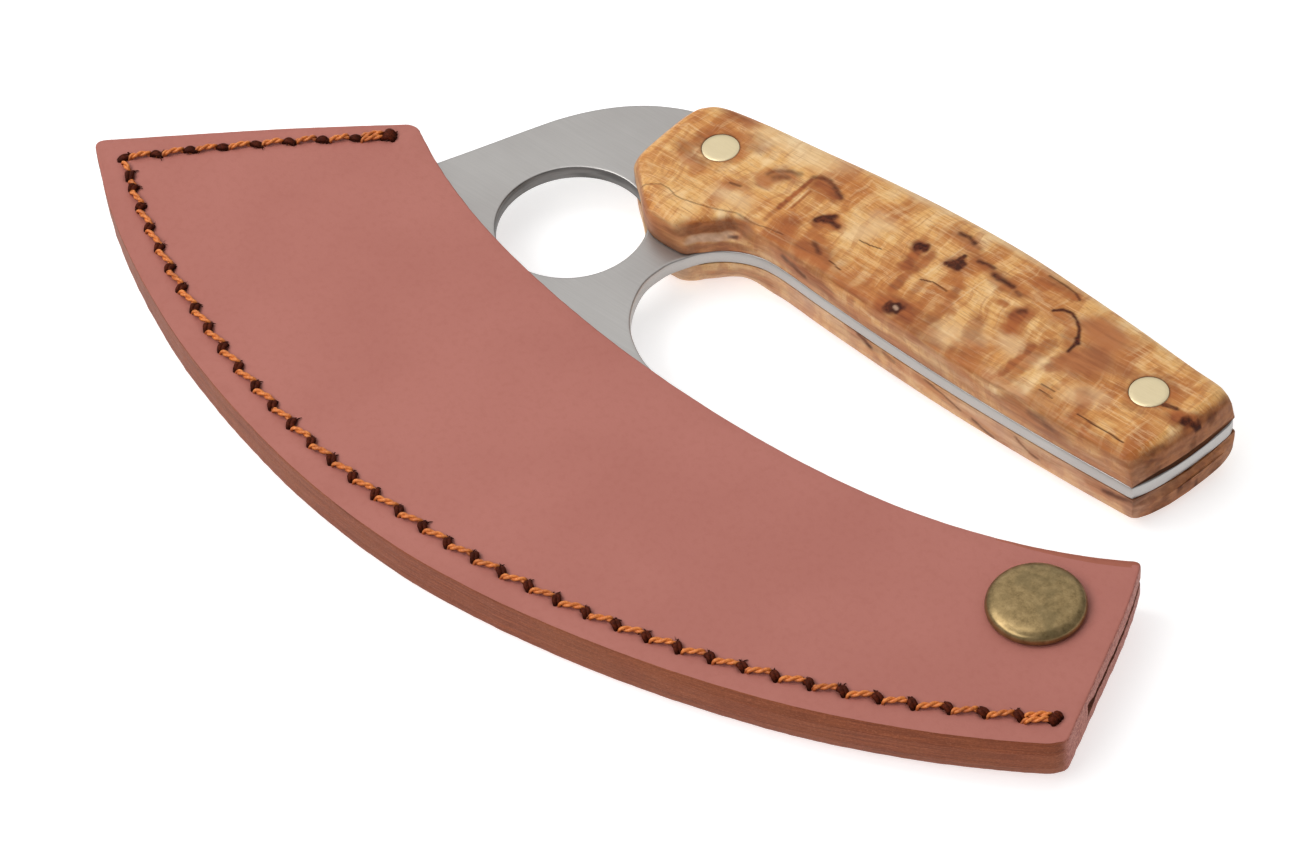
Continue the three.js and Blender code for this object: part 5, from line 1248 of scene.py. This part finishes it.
def edge_masks(p, z_top):
    """Where the leather darkens towards its cut edge, and how raw that edge is."""
    d = distance(p[:, :2], front_line, True)
    rim_d = np.abs(np.linalg.norm(p[:, :2] - ARC_CENTRE, axis=1) - np.interp(np.degrees(np.arctan2(p[:, 1] - ARC_CENTRE[1], p[:, 0] - ARC_CENTRE[0])), rim_table[:, 0], rim_table[:, 1]))
    cut = smoothstep(79.5, 82.5, p[:, 0]) * smoothstep(-8.0, -6.2, p[:, 1]) + smoothstep(60, 70, p[:, 0]) * smoothstep(-2, 0, p[:, 1])
    near = 1 - smoothstep(0.1, 0.6, d + 0.1 * wobble(p, 5, 9))
    return {"edge": np.clip(0.3 * near, 0, 1), "cut": np.clip(cut, 0, 1)}


kind = np.where(tags == 1, 0, np.where(tags == 0, 1, 2))
n_ring = len(front_line)
kind[5 * n_ring:7 * n_ring] = 0
# the mouth band takes the bevel leather, its darker colour a painted shade of the turned-down edge
kind[5 * n_ring:7 * n_ring][np.tile(band > 0.12, 2)] = 3
front = add_mesh("sheath_front_leather", pts, faces, [LEATHER, EDGE, SUEDE, BEVEL], kind, edge_masks(pts, Z_OUT), sharp=60)
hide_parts("sheath_front_panel", "sheath_snap_flap")
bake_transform(front)

# back panel, with its stitches lying in a groove
back_line = sheath_line(1.6)


def back_z(p):
    d = distance(p, seam_line)
    return -Z_OUT + 0.62 * (1 - smoothstep(0.45, 0.95, d)) + 0.04 * wobble(p, 30, 8) + 0.04


dense_b = dense[distance(dense, back_line, True) > 1.1]
under = np.vstack([dense_b, thin_out(grid(back_line, [back_line], 2.4, 1.4), dense_b, 1.0)])
plain = grid(back_line, [back_line], 3.0, 1.5)
under = under[np.linalg.norm(under - SNAP_XY, axis=1) > 3.2]
plain = plain[np.linalg.norm(plain - SNAP_XY, axis=1) > 3.2]
lift = 0.04 * wobble(back_line, 30, 8) + 0.04
fray = 0.045 * wobble(back_line, 2.2, 21)
rings = []
lean = (1 - smoothstep(0.3, 1.4, distance(back_line, rim_line))) * smoothstep(0, 60, back_line[:, 0])
lip = 0.95 * smoothstep(1.0, 4.5, back_line[:, 1]) * (1 - smoothstep(0.3, 1.5, distance(back_line, right_up)))
for z, cut in ((-3.6, 0.55), (-3.56, 0.3), (-3.46, 0.13), (-3.28, 0.03), (-3.0, 0.0), (-2.5, -0.02), (-2.0, -0.02), (-1.5, 0.0)):
    rings.append((inset(back_line, cut + 0.45 * lean * (-z - 1.5) / 2.1 + fray * (1 if z > -3.4 else 0.5)), z + (lip if z > -1.6 else 0.0) + lift * max(0.0, (-z - 2.0) / 1.6)))
pts, faces, tags = shell(rings, [[(circle(*SNAP_XY, 2.1, 32), z) for z in (-3.56, -1.5)]], plain, under, lambda p: np.full(len(p), -Z_IN), back_z)
kind = np.where(tags == 2, 0, np.where(tags == 0, 1, 2))
n_ring = len(back_line)
kind[0:2 * n_ring] = 0
back = add_mesh("sheath_back_leather", pts, faces, [LEATHER_BACK, EDGE, SUEDE], kind, edge_masks(pts, Z_OUT), sharp=60)
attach(back, "sheath")
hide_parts("sheath_back_panel")

# spacer strip between the panels
stop = np.array([82.5, 1.0])
for _ in range(40):
    stop[1] = arc_below(WELT_INNER_R, stop[0])
    stop[0] = right_x(stop[1])
end_dir = corner_li - corner_lo
end_dir /= np.linalg.norm(end_dir)
end_inner = left_up + np.array([end_dir[1], -end_dir[0]]) * WELT_W_END
end_in = end_inner[np.linalg.norm(end_inner - ARC_CENTRE, axis=1) < WELT_INNER_R - 4]
top_x = end_inner[-1, 0] + 1.2
inner_arc = on_arc(ARC_CENTRE, WELT_INNER_R, np.linspace(deg_at(ARC_CENTRE, stop), deg_at(ARC_CENTRE, end_in[0]) + 3.2, 160))
right_low = right_up[right_up[:, 1] < stop[1] - 0.4]
welt = np.vstack([rim_line, right_low[1:], inner_arc, end_in[:-1], [[top_x, mouth_y(top_x)]], left_up[::-1][:-1]])
welt = round_corner(welt, corner_lo, 2.1, 8)
welt = round_corner(welt, corner_li, 1.9, 8)
welt = ccw(round_corner(welt, corner_ro, 3.0, 8))
gap = np.linalg.norm(np.roll(welt, -1, 0) - welt, axis=1)
welt = welt[gap > 0.05]
fray = 0.045 * wobble(welt, 2.2, 21)
rings = [(inset(welt, c + fray), z) for z, c in ((-1.49, 0.0), (-1.0, -0.02), (-0.4, -0.03), (0.4, -0.03), (1.0, -0.02), (1.49, 0.0))]
pts, faces, tags = shell(rings)
strip = add_mesh("sheath_welt_leather", pts, faces, [EDGE, SUEDE], np.where(tags == 0, 0, 1), edge_masks(pts, Z_OUT), sharp=60)
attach(strip, "sheath")
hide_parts("sheath_welt")

# ----------------------------------------------------------------- stitches
orange = Soup()
brown = Soup()
# half-length of each dark loop along the seam and across it
order = np.arange(len(holes))
slant = np.column_stack([np.interp(order, [0, 1, 29, 35, 38.4, 39, 48], [0.5, 0.66, 0.66, 0.46, 0.44, 1.02, 1.02]), np.interp(order, [0, 1, 29, 35, 38.4, 39, 48], [0.3, 0.62, 0.66, 0.6, 0.56, 0.36, 0.36])])
for i in range(len(holes) - 1):
    a, b = holes[i], holes[i + 1]
    d = (b - a) / np.linalg.norm(b - a)
    n = np.array([d[1], -d[0]])
    jit = rng.normal(0, 0.06, 4)
    strands = [0.0] if i not in (0, len(holes) - 2) else [-0.45, 0.45]
    for k, shift in enumerate(strands):
        s0 = a + n * (slant[i, 1] * 0.95 + shift + jit[0]) + d * (slant[i, 0] - 0.15)
        s1 = b + n * (-slant[i + 1, 1] * 0.95 + shift + jit[1]) - d * (slant[i + 1, 0] - 0.15)
        length = np.linalg.norm(s1 - s0)
        u = np.linspace(0, 1, 30)
        rise = np.minimum(1, np.minimum(u, 1 - u) * length / 0.85)
        z = 3.05 + (3.98 + 0.03 * jit[2] - 3.05) * np.sin(rise * math.pi / 2) + 0.05 * np.sin(u * math.pi)
        xy = s0 + (s1 - s0) * u[:, None] + n * (0.10 * jit[3] * np.sin(u * math.pi))[:, None]
        orange.twist(np.column_stack([xy, z]), 1.0, 2, 3.1, 0, phase=rng.uniform(0, 6.28), step=0.12)
# dark loops at each hole: the lower thread, drawn large to also paint the shade in the awl hole
for i, h in enumerate(holes):
    d, n = seam_dir[i], seam_in[i]
    jit = rng.normal(0, 0.05, 4)
    s0 = h + n * (slant[i, 1] + 0.1 + jit[0]) + d * (slant[i, 0] + jit[1])
    s1 = h - n * (slant[i, 1] + jit[2]) - d * (slant[i, 0] + jit[3])
    across = np.array([-(s1 - s0)[1], (s1 - s0)[0]])
    across /= np.linalg.norm(across)
    big = i in (0, len(holes) - 1)
    for k, shift in enumerate((-0.78, -0.26, 0.26, 0.78) if big else (-0.33, 0.27) if i < 40 else (-0.24, 0.2)):
        u = np.linspace(0, 1, 18)
        z = 3.0 + (1.15 if big else 0.8 if i > 39 else 1.02 + 0.12 * (k == 0) + 0.06 * jit[1]) * np.sin(u * math.pi) ** 0.5
        xy = s0 + (s1 - s0) * (u * (1.0 - 0.16 * (k == 0)) + 0.08 * (k == 0))[:, None] + across * (shift + 0.09 * np.sin(5 * u + 1.7 * i + k))[:, None]
        brown.tube(np.column_stack([xy, z]), 0.44 * (0.80 + 0.20 * np.sin(u * math.pi)), 9, 0)
    for _ in range(7):
        start = s0 - n * 0.25 + across * rng.normal(0, 0.32)
        way = n * rng.uniform(0.5, 1.0) - d * rng.normal(0.15, 0.5)
        way /= np.linalg.norm(way)
        l = rng.uniform(0.45, 0.85)
        u = np.linspace(0, 1, 6)
        tuft = np.column_stack([start + way * (u * l)[:, None], 3.66 + rng.uniform(0.1, 0.32) * np.sin(0.6 + 2.3 * u)])
        brown.tube(tuft, 0.15 * (1 - 0.65 * u), 5, 0)
    for _ in range(4):
        start = s0 + rng.normal(0, 0.22, 2)
        way = n * rng.uniform(0.2, 1.0) + d * rng.normal(0, 0.7)
        way /= np.linalg.norm(way)
        l = rng.uniform(0.25, 0.5)
        u = np.linspace(0, 1, 5)
        hair = np.column_stack([start + way * (u * l)[:, None], 3.62 + 0.28 * np.sin(u * 2.2) * rng.uniform(0.3, 1.0)])
        brown.tube(hair, 0.045 * (1 - 0.7 * u), 4, 0)
# legs inside the holes and the run on the back, in its groove
for i, h in enumerate(holes):
    orange.tube(np.column_stack([np.repeat(h[None], 4, 0), np.linspace(0.2, 3.2, 4)]), 0.36, 6)
    brown.tube(np.column_stack([np.repeat(h[None], 4, 0), np.linspace(-3.1, -0.2, 4)]), 0.36, 6)
for i in range(len(holes) - 1):
    a, b = holes[i], holes[i + 1]
    d = (b - a) / np.linalg.norm(b - a)
    n = np.array([d[1], -d[0]])
    u = np.linspace(0, 1, 26)
    length = np.linalg.norm(b - a)
    rise = np.minimum(1, np.minimum(u, 1 - u) * length / 0.8)
    z = -2.75 - 0.42 * np.sin(rise * math.pi / 2)
    xy = a + n * 0.22 + d * 0.1 + (b - a - n * 0.44 - d * 0.2) * u[:, None]
    brown.twist(np.column_stack([xy, z]), 0.88, 3, 2.2, 0, phase=rng.uniform(0, 6.28), sides=6, step=0.2)
pts, faces, kind = orange.mesh()
upper_thread = add_mesh("stitching_orange", pts, faces, [ORANGE], sharp=80)
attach(upper_thread, "sheath")
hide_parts("stitch_thread_upper")
pts, faces, kind = brown.mesh()
lower_thread = add_mesh("stitching_brown", pts, faces, [MAROON], sharp=80)
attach(lower_thread, "sheath")
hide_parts("stitch_thread_lower")

# --------------------------------------------------------------------- snap
CAP = [[0, 0.55], [2.7, 0.55], [2.7, 0.95], [1.85, 0.95], [1.85, 4.5], [6.3, 4.5], [6.6, 3.66], *catmull([[7.25, 3.66], [7.5, 4.0], [7.46, 4.55], [7.15, 5.1], [6.45, 5.52], [5.0, 5.86], [2.5, 6.11], [0, 6.2]], 0.16).tolist()]
SOCKET = [[2, 1.02], [3.4, 1.02], [3.4, -0.6], [3.7, -0.9], [5.1, -0.9], [5.4, -0.6], [5.4, 1.1], [5.1, 1.44], [2, 1.44]]
STUD = [[0, -0.3], [1.45, -0.3], [1.45, -1.05], [2, -1.44], [4.4, -1.44], [4.6, -1.2], [4.3, -1.0], [1.95, -0.9], [1.95, -0.7], [2.4, -0.5], [2.4, -0.2], [1.9, 0.15], [1, 0.32], [0, 0.36]]
POST = [[0, -4.1], [1.4, -4.2], [3.7, -4.35], [4.5, -4.0], [4.35, -3.66], [1.85, -3.66], [1.85, -1.55], [1.3, -1.3], [1.3, -0.5], [0, -0.42]]
for profile, name, node, body, cut, closed in (
    (CAP, "snap_cap_bronze", "snap_cap", "snap_flap", 0.1, False),
    (SOCKET, "snap_socket_bronze", "snap_socket", "snap_flap", 0.12, True),
    (STUD, "snap_stud_bronze", "snap_stud", "sheath", 0.2, False),
    (POST, "snap_post_bronze", "snap_post", "sheath", 0.25, False),
):
    pts, faces = turned(soften(profile, cut, 5, closed), SNAP_XY, 96, closed)
    bit = add_mesh(name, pts, faces, [BRONZE], sharp=50)
    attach(bit, body)
    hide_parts(node)

# --------------------------------------------------------- stage and camera
floor_mat = make_floor()
me = bpy.data.meshes.new("studio_floor")
me.from_pydata([(-6, -6, -0.0002), (6, -6, -0.0002), (6, 6, -0.0002), (-6, 6, -0.0002)], [], [(0, 1, 2, 3)])
me.materials.append(floor_mat)
floor = bpy.data.objects.new("studio_floor", me)
bpy.context.scene.collection.objects.link(floor)

sky = bpy.data.worlds.new("studio")
sky.use_nodes = True
sky.node_tree.nodes["Background"].inputs[0].default_value = (1.0, 1.0, 1.0, 1)
sky.node_tree.nodes["Background"].inputs[1].default_value = 0.335
bpy.context.scene.world = sky
bpy.context.scene.view_settings.view_transform = "Standard"
bpy.context.scene.view_settings.look = "None"


def area(name, size, place, aim, power, colour=(1, 1, 1)):
    light = bpy.data.lights.new(name, "AREA")
    light.shape = "RECTANGLE"
    light.size, light.size_y = size
    light.energy = power
    light.color = colour
    ob = bpy.data.objects.new(name, light)
    bpy.context.scene.collection.objects.link(ob)
    ob.location = place
    ob.rotation_euler = (Vector(aim) - Vector(place)).to_track_quat("-Z", "Y").to_euler()
    return ob


area("panel_back", (2.4, 2.4), (-0.75, 0.85, 1.35), (0, 0, 0), 11.3)
area("softbox_left", (1.5, 0.55), (-0.42, -0.74, 0.88), (0, 0, 0), 9.6)
area("softbox_top", (0.26, 0.85), (-0.36, -0.13, 1.05), (0.05, -0.03, 0), 2.1)

# camera at the photographed angle
E = math.radians(48)
right = np.array([1, 0, 0.0])
down = np.array([0, -math.sin(E), -math.cos(E)])
fwd = np.array([0, math.cos(E), -math.sin(E)])
right, down = 0.99396 * right + 0.10973 * down, -0.10973 * right + 0.99396 * down


def plan(v):
    return turn(np.array([0.68772 * v[0] - 0.72597 * v[1], 0.72597 * v[0] + 0.68772 * v[1], v[2]]))


right, down, fwd = plan(right), plan(down), plan(fwd)
lens = bpy.data.cameras.new("photo_camera")
lens.sensor_fit = "HORIZONTAL"
lens.sensor_width = 36.0
lens.lens = 115.95
lens.clip_start = 0.01
cam = bpy.data.objects.new("photo_camera", lens)
bpy.context.scene.collection.objects.link(cam)
place = world(np.array([309.84, -293.51, 477.60]))
cam.matrix_world = Matrix(((right[0], -down[0], -fwd[0], place[0]), (right[1], -down[1], -fwd[1], place[1]), (right[2], -down[2], -fwd[2], place[2]), (0, 0, 0, 1)))
bpy.context.scene.camera = cam
